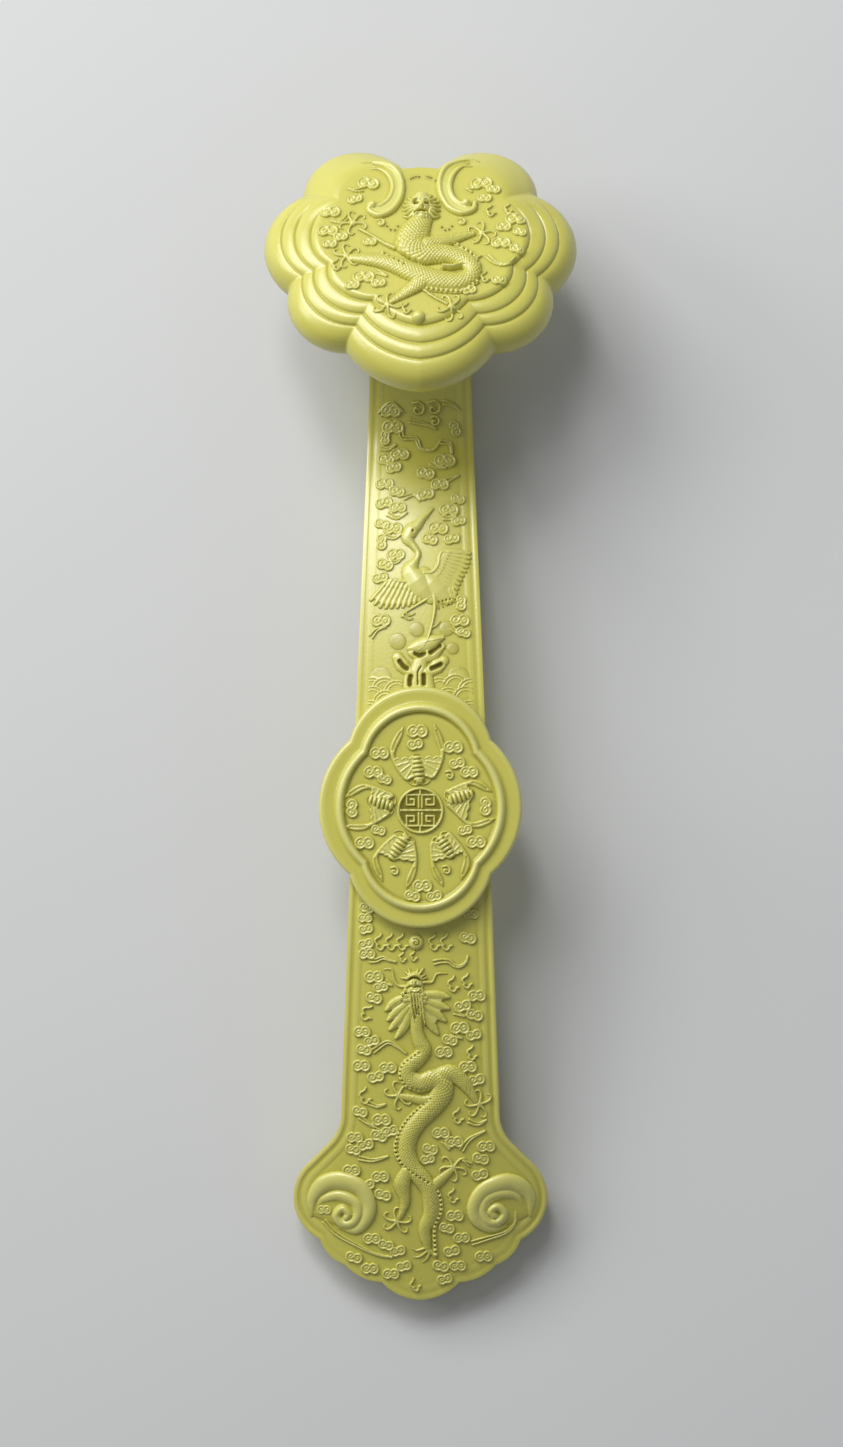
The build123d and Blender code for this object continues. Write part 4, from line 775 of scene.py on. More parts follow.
MEDALLION_CLOUDS = {
    "crown": (
        (415, 732, 1.07, 0), (377, 754, 1.0, 0), (451, 748, 1.0, 0), (371, 773, 1.0, 0), (467, 773, 0.93, 0),
        (350, 809, 0.93, 90), (483, 807, 0.93, -90), (362, 844, 1.0, 0), (474, 843, 1.0, 0), (420, 887, 1.0, 0),
    ),
    "bean": (
        (413, 745, 0.96, 14), (382, 780, 0.88, -14), (455, 764, 0.96, 14), (376, 831, 0.88, -14),
        (463, 831, 0.88, 14), (410, 897, 0.96, -14), (432, 897, 0.96, 14),
    ),
    "curl": ((447, 776, 1.2, 0), (392, 872, 1.2, 0), (444, 871, 1.2, 0)),
}
# Strands of the reliefs: places in the photograph's pixels, then half widths and heights in millimetres
CRANE_BODY = (
    (((415, 561), (411, 569), (416, 578), (423, 588), (431, 598)), (1.6, 4.0, 5.0, 4.4, 2.2),
     (1.3, 2.1, 2.3, 1.9, 1.0)),
    (((424, 574), (432, 583), (441, 592), (448, 598)), (3.0, 4.2, 4.2, 2.6), (1.6, 1.8, 1.5, 0.8)),
)
CRANE_TAIL = tuple(
    (((436 + 3.4 * k, 595 - 1.6 * k), (437 + 3.8 * k, 602 - 1.0 * k), (439 + 4.0 * k, 608 - 1.6 * k)),
     (0.6, 0.5, 0.3), (1.0, 0.9, 0.5)) for k in range(6)
)
CRANE_NECK = (
    (((433, 508), (428, 513), (422, 519), (417, 525)), (0.55, 1.0, 1.5, 2.1), (0.7, 1.1, 1.5, 1.8)),
    (((418, 524), (411, 530), (408, 538), (414, 546), (418, 552), (417, 558), (412, 565)),
     (2.0, 2.8, 2.6, 1.5, 1.2, 1.2, 2.4), (1.7, 2.0, 1.8, 1.4, 1.3, 1.4, 1.7)),
)
CRANE_EYE = (413, 531)
CRANE_RIGHT_EDGE = (
    ((424, 573), (432, 572), (438, 565), (440, 555), (444, 551), (455, 550), (468, 551)),
    (1.0, 1.0, 0.9, 0.8, 0.6), (1.9, 1.8, 1.6, 1.3, 0.9),
)
CRANE_RIGHT_ROOTS = ((445, 552), (440, 560), (437, 568), (430, 574))
CRANE_RIGHT_TIPS = ((470, 552), (469, 560), (466, 569), (462, 577), (458, 586), (455, 597))
CRANE_LEFT_EDGE = (
    ((412, 582), (405, 581), (399, 580.5), (393, 578.5), (386, 581)),
    (0.9, 0.8, 0.7, 0.6), (1.6, 1.5, 1.3, 1.0),
)
CRANE_LEFT_ROOTS = ((387, 581), (396, 580), (405, 582), (413, 586), (425, 595))
CRANE_LEFT_TIPS = (
    (371, 599), (378, 605), (386, 607), (394, 606.5), (401, 606.5), (409, 604.5), (417, 601.5), (425, 598),
)
CRANE_FEATHERS = 11
CRANE_LEGS = (
    (((431, 596), (418, 604), (405, 612), (402, 616)), (0.8, 0.6, 0.5), (1.2, 0.9, 0.7)),
    (((405, 611), (409, 615), (415, 613)), (0.5, 0.4, 0.3), (0.9, 0.8, 0.5)),
    (((403, 615), (408, 619), (413, 618)), (0.5, 0.4, 0.3), (0.8, 0.7, 0.5)),
    (((434, 588), (435, 606), (432, 624), (427, 641)), (1.3, 0.8, 0.6, 0.6), (1.6, 1.0, 0.9, 1.6)),
    (((430, 627), (435, 626), (440, 621)), (0.45, 0.4, 0.3), (0.9, 0.7, 0.5)),
    (((427, 641), (421, 643), (416, 645)), (0.45, 0.35), (1.8, 1.6)),
    (((427, 641), (423, 646), (418, 650)), (0.45, 0.35), (1.8, 1.6)),
    (((427, 641), (433, 640), (440, 638)), (0.45, 0.35), (1.8, 1.6)),
)
ROCK_TABLE = (
    ((409, 648), (417, 646), (427, 643), (437, 639), (443, 637)),
    (1.0, 2.6, 3.0, 2.4, 0.9), (1.1, 1.5, 1.5, 1.4, 1.0),
)
ROCK_BLOCKS = (
    (((413, 652), (422, 655), (432, 653), (442, 646)), (2.0, 2.8, 2.8, 1.4), (1.0, 1.2, 1.2, 0.8)),
    (((398, 657), (402, 664), (409, 671)), (2.2, 2.8, 2.0), (0.9, 1.2, 1.0)),
    (((431, 670), (437, 666), (444, 660)), (2.2, 2.8, 2.0), (1.0, 1.2, 0.9)),
    (((422, 656), (419, 668), (417, 686)), (2.6, 3.0, 4.0), (1.0, 1.2, 1.1)),
    (((411, 672), (410, 686)), (2.4, 2.6), (1.0, 1.0)), (((426, 672), (428, 686)), (2.4, 2.6), (1.0, 1.0)),
)
ROCK_DOMES = ((417, 629, 2.8), (447, 628, 2.8), (398, 641, 3.1), (453, 648, 2.2))
ROCK_HOLES = (
    ((416, 653), (420, 655), (424, 653)), ((431, 652), (436, 648), (440, 645)),
    ((400, 661), (404, 666), (407, 668)), ((432, 668), (437, 666), (441, 664)),
    ((411, 676), (410, 680), (410, 684)), ((424, 675), (424, 679), (424, 683)),
)
ROCK_LINES = (((421, 666), (418, 672), (418, 684)),)
WAVE_ARCS = (
    (372, 690), (385, 690), (440, 690), (456, 687), (471, 691), (397, 693), (373, 699), (449, 700), (466, 699),
    (386, 703), (370, 713), (470, 713),
)
WAVE_RADII = (13.0, 9.8)
WAVE_SWELLS = ((381, 678, 4.2), (459, 677, 4.2))
WAVE_INSET = 3.9
PEARL = (416, 942)
PEARL_FLAMES = (379, 390, 401, 433, 445)
DRAGON_NECK = (
    (((415, 1000), (416, 1012), (417, 1030), (420, 1041), (424, 1050), (417, 1059), (409, 1066), (407, 1073),
     (412, 1080), (421, 1083)), (2.3, 2.3, 2.4, 2.5, 2.8, 2.8, 3.0, 3.2, 3.4, 3.6),
     (1.6, 1.8, 2.0, 2.1, 2.3, 2.3, 2.4, 2.4, 2.5, 2.5)),
)
DRAGON_BODY = (
    (((412, 1080), (422, 1082), (433, 1079), (441, 1081), (443, 1089), (438, 1100), (429, 1111), (419, 1122),
     (411, 1136), (410, 1152), (416, 1167), (427, 1180), (434, 1192), (435, 1213), (429, 1228), (431, 1244),
     (434, 1253)), (3.3, 3.6, 4.0, 4.2, 3.8, 3.4, 3.4, 3.4, 3.3, 3.3, 3.4, 3.3, 3.2, 2.9, 2.6, 2.0, 0.9),
     (2.4, 2.5, 2.7, 2.7, 2.6, 2.5, 2.5, 2.5, 2.5, 2.5, 2.5, 2.4, 2.3, 2.1, 1.9, 1.5, 0.8)),
)
DRAGON_SPINES = (
    ((421, 1051), (412, 1057), (403, 1064), (400, 1074), (406, 1085), (418, 1089), (432, 1088), (436, 1093)),
    ((433, 1097), (421, 1107), (409, 1119), (401, 1133), (398, 1148), (403, 1161), (413, 1170), (424, 1177),
     (434, 1183)),
    ((437, 1183), (444, 1196), (445, 1212), (439, 1226), (439, 1243), (440, 1254)),
)
DRAGON_TAIL_HAIRS = (
    ((431, 1247), (421, 1250), (416, 1248)), ((432, 1250), (424, 1256), (418, 1257)),
    ((434, 1251), (431, 1258), (427, 1262)), ((435, 1250), (439, 1257), (442, 1260)),
)
DRAGON_SKULL = (
    (((415, 978), (415, 983), (415.5, 988), (415.5, 993)), (2.7, 3.1, 3.0, 2.2), (1.6, 2.3, 2.5, 1.8)),
    (((408, 977.5), (411, 975), (414.5, 974), (418, 975), (421, 977.5)), (0.7, 0.8, 0.7), (2.2, 2.9, 2.2)),
    (((410, 988), (412, 990), (415, 990.5), (418, 990), (420, 988)), (0.5, 0.6, 0.5), (2.6, 3.0, 2.6)),
    (((406, 986), (398, 985), (394, 979), (392.5, 971), (390, 968.5), (384, 969)), (0.7, 0.55, 0.5, 0.45, 0.4, 0.3),
     (1.5, 1.0, 0.9, 0.8, 0.7, 0.5)),
    (((424, 981.5), (432, 981.5), (435, 976), (438, 973), (447, 973)), (0.7, 0.55, 0.5, 0.45, 0.3),
     (1.5, 0.9, 0.8, 0.7, 0.5)),
)
DRAGON_SNOUT = (414.2, 982.3)
DRAGON_BROW = ((408.3, 979.6), (411, 977.6), (414.3, 976.9), (417.6, 977.6), (420.3, 979.6))
DRAGON_MOUTH = ((408.6, 986.6), (411.5, 985.3), (414.3, 986.9), (417.2, 985.6), (420.6, 986.2))
DRAGON_EYES = ((412.6, 981.6), (416.0, 981.6))
DRAGON_RUFF = (
    (405.5, 990), (402.8, 993.6), (406.2, 995.6), (401.6, 998), (404.8, 1000.4), (409, 991.6), (408.2, 999.2),
    (421.6, 990), (424, 993), (422.6, 996.6), (426, 997.4), (424.6, 1001.4), (421.4, 1001),
)
DRAGON_SPIKES = (
    ((410, 976), (405, 971)), ((409, 978), (401, 977.5)), ((411, 975), (408.8, 968.5)), ((416.5, 975), (418, 969)),
    ((418, 975), (423.5, 968)), ((420, 977), (425.5, 974)), ((421, 979), (427, 977)),
)
DRAGON_BEARD = (
    ((410.2, 994), (411.6, 1008), (414.4, 1021)), ((413.2, 993), (414.2, 1005), (415.8, 1015)),
    ((416.2, 993), (417, 1003), (417.6, 1012)), ((418.8, 993), (420, 1005), (421.6, 1016)),
    ((421.4, 994), (423, 1008), (425, 1024)),
)
DRAGON_LEAVES = (
    ((424, 994), (438, 994.5), (449, 996.5)), ((424, 1000), (438, 1004.5), (448.5, 1008)),
    ((424, 1005), (436, 1013), (445.5, 1020.5)), ((421, 1010), (430, 1022.5), (438, 1033)),
    ((408, 996), (395, 1002), (386, 1009.6)), ((408, 1002), (396.5, 1011.5), (388, 1019.6)),
    ((409, 1006), (399, 1019.5), (390, 1029)), ((411, 1008), (405, 1025), (396, 1037.5)),
)
DRAGON_WEB = (
    ((409, 993), (391, 1005.5), (392.5, 1015), (395, 1024), (401, 1031), (412, 1016)),
    ((422, 992), (443, 995), (442.5, 1006), (440, 1016.5), (433.5, 1027), (422, 1018)),
)
DRAGON_LEAF = ((1.5, 1.7, 1.8, 1.75, 1.5, 0.7), (1.9, 1.8, 1.7, 1.6, 1.5, 1.2))
DRAGON_LEGS = (
    (((443, 1075), (452, 1073), (462, 1080), (470, 1090), (477, 1101)), (3.6, 3.3, 2.8, 2.0, 1.2),
     (2.5, 2.3, 2.0, 1.5, 1.1)),
    (((436, 1097), (425, 1100), (414, 1098), (402, 1096)), (1.9, 2.0, 1.7, 1.3), (1.5, 1.6, 1.4, 1.1)),
    (((437, 1186), (446, 1178), (455, 1170)), (2.2, 1.9, 1.4), (1.7, 1.5, 1.1)),
    (((410, 1172), (406, 1184), (409, 1199), (407, 1210), (402, 1219)), (2.6, 3.3, 2.3, 1.6, 1.1),
     (2.0, 2.3, 1.8, 1.4, 1.0)),
)
DRAGON_CLAWS = ((480, 1104, -45), (399, 1095, 185), (457, 1167, 55), (401, 1221, -130))
HEAD_DRAGON_BODY = (
    (((417, 223), (412, 233), (409, 245), (418, 253), (432, 254), (447, 255), (461, 260), (469, 268), (467, 276),
     (457, 281), (445, 281), (430, 279), (412, 273), (395, 266), (378, 261), (362, 259), (350, 258)),
     (4.3, 5.8, 6.1, 5.2, 4.2, 3.7, 3.4, 3.3, 3.6, 4.0, 4.2, 4.2, 3.9, 3.5, 3.1, 2.6, 1.9),
     (2.5, 3.5, 3.8, 3.6, 3.2, 2.9, 2.7, 2.6, 2.6, 2.8, 3.0, 3.0, 2.8, 2.6, 2.3, 1.9, 1.4)),
)
HEAD_DRAGON_TAIL = (((440, 268), (452, 268), (466, 262), (478, 256)), (0.9, 0.8, 0.6, 0.5), (3.0, 3.0, 1.6, 0.9))
HEAD_DRAGON_SPINES = (
    ((446, 240), (458, 247), (470, 255), (476, 265)), ((404, 268), (392, 261), (380, 253)),
    ((474, 282), (460, 291), (440, 291), (424, 289)),
)
HEAD_DRAGON_LEGS = (
    (((424, 246), (440, 242), (455, 238), (470, 234)), (3.4, 2.8, 2.0, 1.2), (3.4, 2.6, 1.8, 1.1)),
    (((392, 248), (381, 243), (368, 235), (357, 229)), (1.1, 0.8, 0.7, 0.8), (1.3, 1.0, 0.9, 0.8)),
    (((421, 280), (408, 289), (397, 296), (389, 301)), (3.4, 2.8, 2.0, 1.2), (2.8, 2.2, 1.5, 1.0)),
    (((420, 289), (432, 297), (444, 303)), (0.7, 0.7, 0.8), (0.8, 0.8, 0.7)),
)
HEAD_DRAGON_CLAWS = ((479, 233, 15), (350, 223, 120), (385, 304, 215), (448, 306, -20), (344, 256, 175))
HEAD_DRAGON_FACE = (418.6, 209.5)
HEAD_PEARL = (415.6, 316)
HEAD_DOTS = (
    ((401, 180), (399, 188), (398, 196)), ((433, 180), (435, 188), (437, 196)),
    ((408, 178), (412, 176), (416, 176)), ((424, 176), (428, 177)), ((384, 226), (390, 231), (395, 226)),
    ((449, 226), (444, 231), (439, 227)),
)
# Cloud motifs in millimetres about their own middle: half a crown and its eye, half a bean and its eye, a curl, a flame
CROWN_HALF = (
    (0.0, 1.2), (0.8, 1.85), (1.95, 1.65), (2.9, 0.5), (2.65, -0.95), (1.5, -1.6), (0.6, -1.3), (0.0, -0.8),
)
CROWN_EYE = ((0.0, 1.2), (0.3, 0.3), (1.0, -0.5), (1.85, -0.1), (1.6, 0.65), (1.1, 0.45))
BEAN_HALF = ((0.0, 0.85), (0.7, 1.4), (1.75, 1.4), (2.45, 0.5), (2.2, -0.8), (1.2, -1.4), (0.0, -1.1))
BEAN_EYE = ((0.0, 0.85), (0.35, 0.1), (1.0, -0.35), (1.5, 0.15), (1.1, 0.55))
CURL = ((0.15, 0.0), (-0.3, 0.3), (-0.6, -0.2), (-0.1, -0.75), (0.75, -0.5), (0.95, 0.5), (0.2, 1.2), (-0.9, 1.0))
FLAME_HOOK = ((0.9, 3.2), (0.3, 2.2), (-1.1, 1.4), (-1.5, 0.3), (-0.8, -0.6), (-0.2, -0.9))
FLAME_CUP = ((-0.8, -0.6), (-0.7, -2.0), (0.4, -2.9), (1.5, -2.4), (1.9, -1.4), (2.8, -1.2))
# Bats: body, nose and the front edges of both wings, in the photograph's pixels
BATS = {
    "bat_top": (
        (415, 764), (417, 781), ((410, 777), (402, 778), (390, 754), (401, 727)),
        ((424, 776), (432, 776), (440, 754), (432, 725)),
    ),
    "bat_left": (
        (374, 802), (388, 806), ((385, 799), (389, 795), (363, 787), (342, 798)),
        ((383, 811), (385, 815), (363, 827), (342, 827)),
    ),
    "bat_right": (
        (463, 796), (448, 801), ((450, 795), (447, 791), (470, 783), (489, 792)),
        ((450, 805), (448, 807), (469, 825), (493, 819)),
    ),
    "bat_lower_left": (
        (393, 853), (403, 838), ((396, 838), (390, 838), (373, 858), (380, 882)),
        ((405, 843), (411, 845), (413, 864), (404, 889)),
    ),
    "bat_lower_right": (
        (446, 851), (438, 839), ((434, 844), (429, 845), (431, 867), (441, 887)),
        ((443, 837), (449, 836), (464, 858), (459, 880)),
    ),
}
BAT_WING = ((0.6, 0.65, 0.65, 0.7, 0.85, 1.25, 1.5, 1.25, 0.3), (1.3, 1.2, 1.1, 1.0, 0.95, 0.9, 0.9, 0.7, 0.4))
# Middle of the medallion's boss, in the photograph's pixels
ROUNDEL_PLACE = (418, 811)
# Rolls of the head and tail: outer and inner curve, and the ball of a scroll, in the photograph's pixels
HEAD_SCROLLS = {
    "head_scroll_left": (
        ((358, 160), (369, 158.5), (382, 162), (393, 170), (398.5, 182), (397.5, 197), (389, 210), (376, 215.5),
         (366.5, 211), (366, 205)),
        ((368, 167), (377, 168), (386, 175), (390, 187), (386, 199), (377, 206), (370, 206.5)),
        (369.5, 205.5),
    ),
    "head_scroll_right": (
        ((477, 158), (466, 155), (454, 159), (442, 168), (437, 181), (438.5, 195), (446, 207.5), (458, 213),
         (470, 210), (472.5, 203)),
        ((469, 165), (460, 165), (451, 173), (447, 185), (450, 197), (458, 204), (464, 204.5)),
        (463.5, 203.5),
    ),
}
TAIL_VOLUTES = {
    "tail_volute_left": (
        ((315, 1217), (316, 1199), (327, 1185), (343, 1181), (363, 1187), (373, 1203), (371, 1218), (360, 1230),
         (344, 1228)),
        ((321, 1210), (326, 1201), (342, 1196), (358, 1202), (362, 1213), (356, 1223), (346, 1224), (340, 1216),
         (346, 1209), (352, 1214), (350, 1218)),
    ),
    "tail_volute_right": (
        ((535, 1217), (535, 1199), (525, 1187), (509, 1183), (488, 1191), (478, 1207), (482, 1221), (496, 1229),
         (510, 1227)),
        ((528, 1208), (521, 1197), (507, 1194), (492, 1199), (487, 1211), (493, 1222), (503, 1222), (509, 1214),
         (502, 1207), (495, 1211), (498, 1216)),
    ),
}
# Shapes that strands share, as (half widths, heights) and sometimes a power; dots as (radius, height);
# cuts and pits as (half width, depth) and how dark they are painted, as shade; beds as (height, width of the rounded
# edge)
EYE_WIDTH = STRAND_WIDTH * 0.85
CLOUD_LINES = {
    "crown": ((CROWN_HALF, STRAND_WIDTH), (CROWN_EYE, EYE_WIDTH)),
    "bean": ((BEAN_HALF, STRAND_WIDTH), (BEAN_EYE, EYE_WIDTH)),
    "curl": ((CURL, STRAND_WIDTH),),
    "flame": ((FLAME_HOOK, STRAND_WIDTH), (FLAME_CUP, STRAND_WIDTH)),
}
PAIRED_CLOUDS = ("crown", "bean")
RIBBON_GAP, RIBBON_END, RIBBON_HEIGHT = 0.72, 0.2, STRAND_HEIGHT * 0.9
CLAW_REACH, HEAD_CLAW_REACH, CLAW_PAD = 5.2, 5.0, (0.26, 1.0)
CLAW_TOES, CLAW_SPREAD, TOE_BEND = 5, 240.0, 24.0
TOE_SHARE = np.array([0.1, 0.45, 0.75, 0.97, 1.0, 0.88])
TOE_CURL = np.array([0.0, 0.0, 0.2, 0.6, 1.1, 1.5])
TOE = (0.55, 0.55, 0.5, 0.45, 0.4, 0.3), (1.0, 1.0, 0.95, 0.85, 0.75, 0.5)
SCALE_CUT, SHAFT_SCALES, HEAD_SCALES, SCALED_POWER = 0.16, (1.2, 3.2), (1.35, 3.6), 0.5
SPINE_PITCH, SPINE_LEAST, SPINE_R, SPINE_HEIGHT = 1.6, 3, 0.8, 1.5
SPINE_RIB, SPINE_PIT = (SPINE_R, SPINE_HEIGHT * 0.7, 0.4), (SPINE_R * 0.6, SPINE_HEIGHT * 0.7, 0.7)
NUDGE = 1e-3
FEATHER_ROWS = ((1.0, 0.7), (0.64, 0.9), (0.36, 1.05))
FEATHER_WIDTHS, FEATHER_HEIGHTS, FEATHER_POWER = (0.7, 0.9, 1.0, 0.75), np.array([1.0, 1.0, 0.85]), 0.5
FEATHER_CUT, FEATHER_CUT_START = (0.28, 0.35, 0.6), 0.25
WING_REACH, WING_BED, WING_EDGE = 0.9, 0.5, 0.6
RIGHT_WING, LEFT_WING = 1.4, 1.2
CRANE_TAIL_CUT, CRANE_EYE_PIT = (0.4, 0.9), (0.6, 0.8)
ROCK_DOME, ROCK_HOLE, ROCK_LINE = (0.3, 0.35), (1.05, 2.2), (0.4, 0.7)
WAVE_SWELL, WAVE_LINE, WAVE_TURN = (0.16, 0.7), (0.4, 0.28), (20, 160, 12)
TAIL_HAIR = (0.55, 0.5, 0.25), (0.9, 0.8, 0.4)
SPIKE = (0.6, 0.3), (2.0, 0.8)
RUFF_DOT, RUFF_PIT = (0.95, 2.6), (0.4, 0.8, 0.7)
BROW_CUT, MOUTH_CUT, SNOUT_DOT, EYE_PIT = (0.4, 0.9, 0.9), (0.42, 0.9, 0.9), (1.25, 3.2), (0.38, 0.9)
BEARD_HAIR, BEARD_CUT = ((0.5, 0.5, 0.3), (3.0, 2.8, 2.4)), (0.5, 0.5, 0.8)
WEB_BED = (1.0, 0.6)
VEINS, VEIN_REACH, VEIN_CUT = (-0.55, 0.0, 0.55), 0.85, (0.24, 0.22, 0.45)
PEARL_DOT, PEARL_CURL, PEARL_CUT, FLAME_SIZE = (2.8, 2.2), 1.2, (0.35, 0.35), 0.95
HEAD_PEARL_DOT = (2.4, 2.0)
VOLUTE_BED, ROLL_POWER = (0.45, 3.0), 0.5
VOLUTE_OUTER = (0.8, 2.1, 3.2, 3.5, 3.3, 2.8, 2.5, 1.9, 0.8), (0.5, 1.4, 2.0, 2.2, 2.2, 2.1, 1.9, 1.3, 0.5)
VOLUTE_INNER = ((0.6, 1.5, 1.9, 2.1, 2.1, 2.0, 1.9, 1.7, 1.6, 1.6, 1.5),
                (0.4, 1.1, 1.7, 1.9, 1.9, 1.9, 2.0, 2.1, 2.3, 2.4, 2.2))
SCROLL_OUTER = (0.5, 1.0, 1.2, 1.2, 1.2, 1.2, 1.2, 1.2, 1.0), (0.2, 0.8, 1.4, 1.7, 1.8, 1.8, 1.8, 1.7, 1.6)
SCROLL_INNER = (0.5, 0.9, 1.1, 1.1, 1.1, 1.0), (0.2, 0.8, 1.3, 1.5, 1.6, 1.6)
SCROLL_BETWEEN = (1.0, 2.3, 2.5, 2.5, 1.9), (0.2, 0.7, 1.05, 1.15, 1.1), 0.25
SCROLL_STEPS, SCROLL_BALL = 7, (1.8, 2.5)
# The head dragon's face, in millimetres about its middle; what lies beside the middle is drawn on both sides
MASK_HAIRS, MASK_HAIR_FROM, MASK_HAIR_SPREAD, MASK_HAIR_TIP = 19, -55, 290, (0, 0.4)
MASK_HAIR_REACH, MASK_HAIR = (3.4, 5.2, 6.9), ((0.75, 0.6, 0.25), (2.8, 2.2, 0.9))
MASK_SKULL = ((0, -3.4), (0, 0), (0, 4.2)), (2.6, 3.9, 3.2), (3.2, 4.2, 3.4), 0.5
MASK_BROW = ((0.5, 2.1), (1.7, 2.7), (3.2, 1.8)), 0.5, 4.6
MASK_EYE = ((1.5, 0.9), (2.2, 1.1)), 0.75, 1.4
MASK_NOSTRIL = ((0.55, -1.0), (0.6, -1.0)), 0.45, 0.9
MASK_SIDE_HAIRS = (
    (((2.2, -2.8), (4.4, -3.8), (6.6, -3.0)), (0.6, 0.3), (2.8, 0.8)),
    (((0.7, -4.0), (0.84, -6.2)), (0.55, 0.25), (2.8, 1.2)),
    (((1.9, -4.0), (2.28, -6.2)), (0.55, 0.25), (2.8, 1.2)),
)
MASK_NOSE = (0, -0.3), 1.2, 5.0
MASK_MOUTH = ((-2.0, -2.3), (0, -2.0), (2.0, -2.3)), 0.7, 1.6
MASK_LIP = ((-2.2, -3.4), (0, -3.1), (2.2, -3.4)), 0.5, 3.9
HEAD_DOT_COUNT, HEAD_DOT, HEAD_DOT_PIT = 4, (0.6, 0.45), (0.5, 0.4)
# Bats, in millimetres along and across the way from body to nose
BAT_ROOT, BAT_SKIN = 1.8, (0.85, 0.5)
WING_PARTS, SKIN_END, FOLD_FROM, FOLD_TO = 20, 9, 12, 18
SCALLOP_STEPS, SCALLOP_COUNT, SCALLOP_DEPTH, SCALLOP = 25, 3, 0.7, (0.42, 1.2)
FINGERS, FINGER_FOOT, FINGER_REACH, FINGER = (0.12, 0.24, 0.36), 1.5, 0.4, (0.38, 1.25)
BAT_FOLD = (0.6, 0.35, 0.3)
BAT_BODY, BAT_RIBS = ((1.9, 2.6, 2.1), (1.6, 2.2, 2.0), 0.5), (1.6, 0.25)
BAT_BODY_LINE = (-1.6, 0.8, -0.6)
BAT_HEAD, BAT_EAR, BAT_EAR_PLACE = (1.25, 1.9), (0.45, 2.2), (0.2, 0.75)
BAT_FEELER = (0.42, 0.36, 0.32, 0.25), (0.9, 0.7, 0.6, 0.4)
BAT_FEELER_LINE = np.array([(0.7, 0.0), (1.5, 1.5), (0.8, 3.4), (-0.5, 4.4)])


def turned(points, place, size=1.0, turn=0.0, mirror=1.0):
    """Points scaled, mirrored, turned by an angle in degrees and moved to a place."""
    p = np.asarray(points, float) * (mirror * size, size)
    c, s = math.cos(math.radians(turn)), math.sin(math.radians(turn))
    return p @ np.array([[c, s], [-s, c]]) + place


def draw_cloud(sheet, place, size, turn, kind):
    """One cloud: a curled crown or bean of two mirrored sides, a single curl or a flame, as rounded strands."""
    lines, mirrors = CLOUD_LINES[kind], (1,)
    if kind in PAIRED_CLOUDS:
        mirrors = (1, -1)
        right, left = (curve(turned(lines[0][0], place, size, turn, mirror)) for mirror in mirrors)
        sheet.fill(np.concatenate([right, left[::-1]]), STRAND_HEIGHT * CLOUD_PAD, STRAND_WIDTH)
    for mirror in mirrors:
        for line, width in lines:
            sheet.stroke(turned(line, place, size, turn, mirror), width, STRAND_HEIGHT)


def draw_ribbon(sheet, points):
    """A cloud's tail: two strands side by side that meet at its end."""
    path = curve(points)
    spread = RIBBON_GAP * np.linspace(1, RIBBON_END, len(path))[:, None]
    for side in (-1, 1):
        sheet.stroke(path + side * sideways(path) * spread, EYE_WIDTH, RIBBON_HEIGHT, smooth=False)


def draw_claw(sheet, place, heading, reach):
    """Claw: a round pad with long hooked toes spread about its heading, each curling away from the middle one."""
    sheet.dot(place, reach * CLAW_PAD[0], CLAW_PAD[1])
    for k in range(CLAW_TOES):
        turn = heading - CLAW_SPREAD / 2 + CLAW_SPREAD * k / (CLAW_TOES - 1)
        angle = np.radians(turn + (TOE_BEND if k >= CLAW_TOES / 2 else -TOE_BEND) * TOE_CURL)
        toe = np.stack([np.cos(angle), np.sin(angle)], axis=1) * (reach * TOE_SHARE)[:, None] + place
        sheet.stroke(toe, *TOE)


def scales(pitch, width):
    """Pattern of a scaled back: a fine square net set slantwise, cut into the strand, whose lines the stroke paints
    dark as shade.
    """
    def net(along, across):
        a = np.abs(np.sin(math.pi * (along + across * width) / pitch))
        b = np.abs(np.sin(math.pi * (along - across * width) / pitch))
        return 1.0 - SCALE_CUT * (1 - np.minimum(a, b)) ** 2
    return net


def ribs(pitch, depth):
    """Pattern of rounded ribs across a strand, whose troughs the stroke paints dark as shade."""
    def wave(along, across):
        return 1.0 - depth * (0.5 + 0.5 * np.cos(2 * math.pi * along / pitch)) ** 2
    return wave


def draw_spines(sheet, points):
    """Dorsal fin: a row of flat beads on a pale rib, with a pit painted dark as shade between each two."""
    path = curve(points)
    length = np.linalg.norm(np.diff(path, axis=0), axis=1).sum()
    beads = resample(path, max(SPINE_LEAST, int(length / SPINE_PITCH)))
    sheet.stroke(path, *SPINE_RIB, smooth=False)
    for bead in beads:
        sheet.dot(bead, SPINE_R, SPINE_HEIGHT)
    for gap in (beads[:-1] + beads[1:]) / 2:
        sheet.carve([gap, gap + NUDGE], *SPINE_PIT)


def draw_strands(sheet, strands, place, pattern=None, power=STRAND_POWER):
    """Every strand of a list, put in its place."""
    for points, widths, heights in strands:
        sheet.stroke(place(points), widths, heights, power, pattern)


def each(draw, lines, place, *shape):
    """The same stroke, cut, dot, pit or fill for every line or point of a list, put in its place."""
    for line in lines:
        draw(place(np.reshape(line, (-1, 2))), *shape)


def draw_wing(sheet, roots, tips, thickness):
    """Wing: feathers from a curve of roots to a curve of tips, in three rows that overlap like tiles."""
    root, tip = (resample(curve(on_shaft(line)), CRANE_FEATHERS) for line in (roots, tips))
    sheet.fill(np.concatenate([root, (root + (tip - root) * WING_REACH)[::-1]]), thickness * WING_BED, WING_EDGE)
    for reach, lift in FEATHER_ROWS:
        for a, b in zip(root, tip):
            end = a + (b - a) * reach
            sheet.stroke([a, (a + end) / 2, end], FEATHER_WIDTHS, thickness * lift * FEATHER_HEIGHTS, FEATHER_POWER)
    for a, b in zip((root[:-1] + root[1:]) / 2, (tip[:-1] + tip[1:]) / 2):
        sheet.carve([a + (b - a) * FEATHER_CUT_START, b], *FEATHER_CUT)


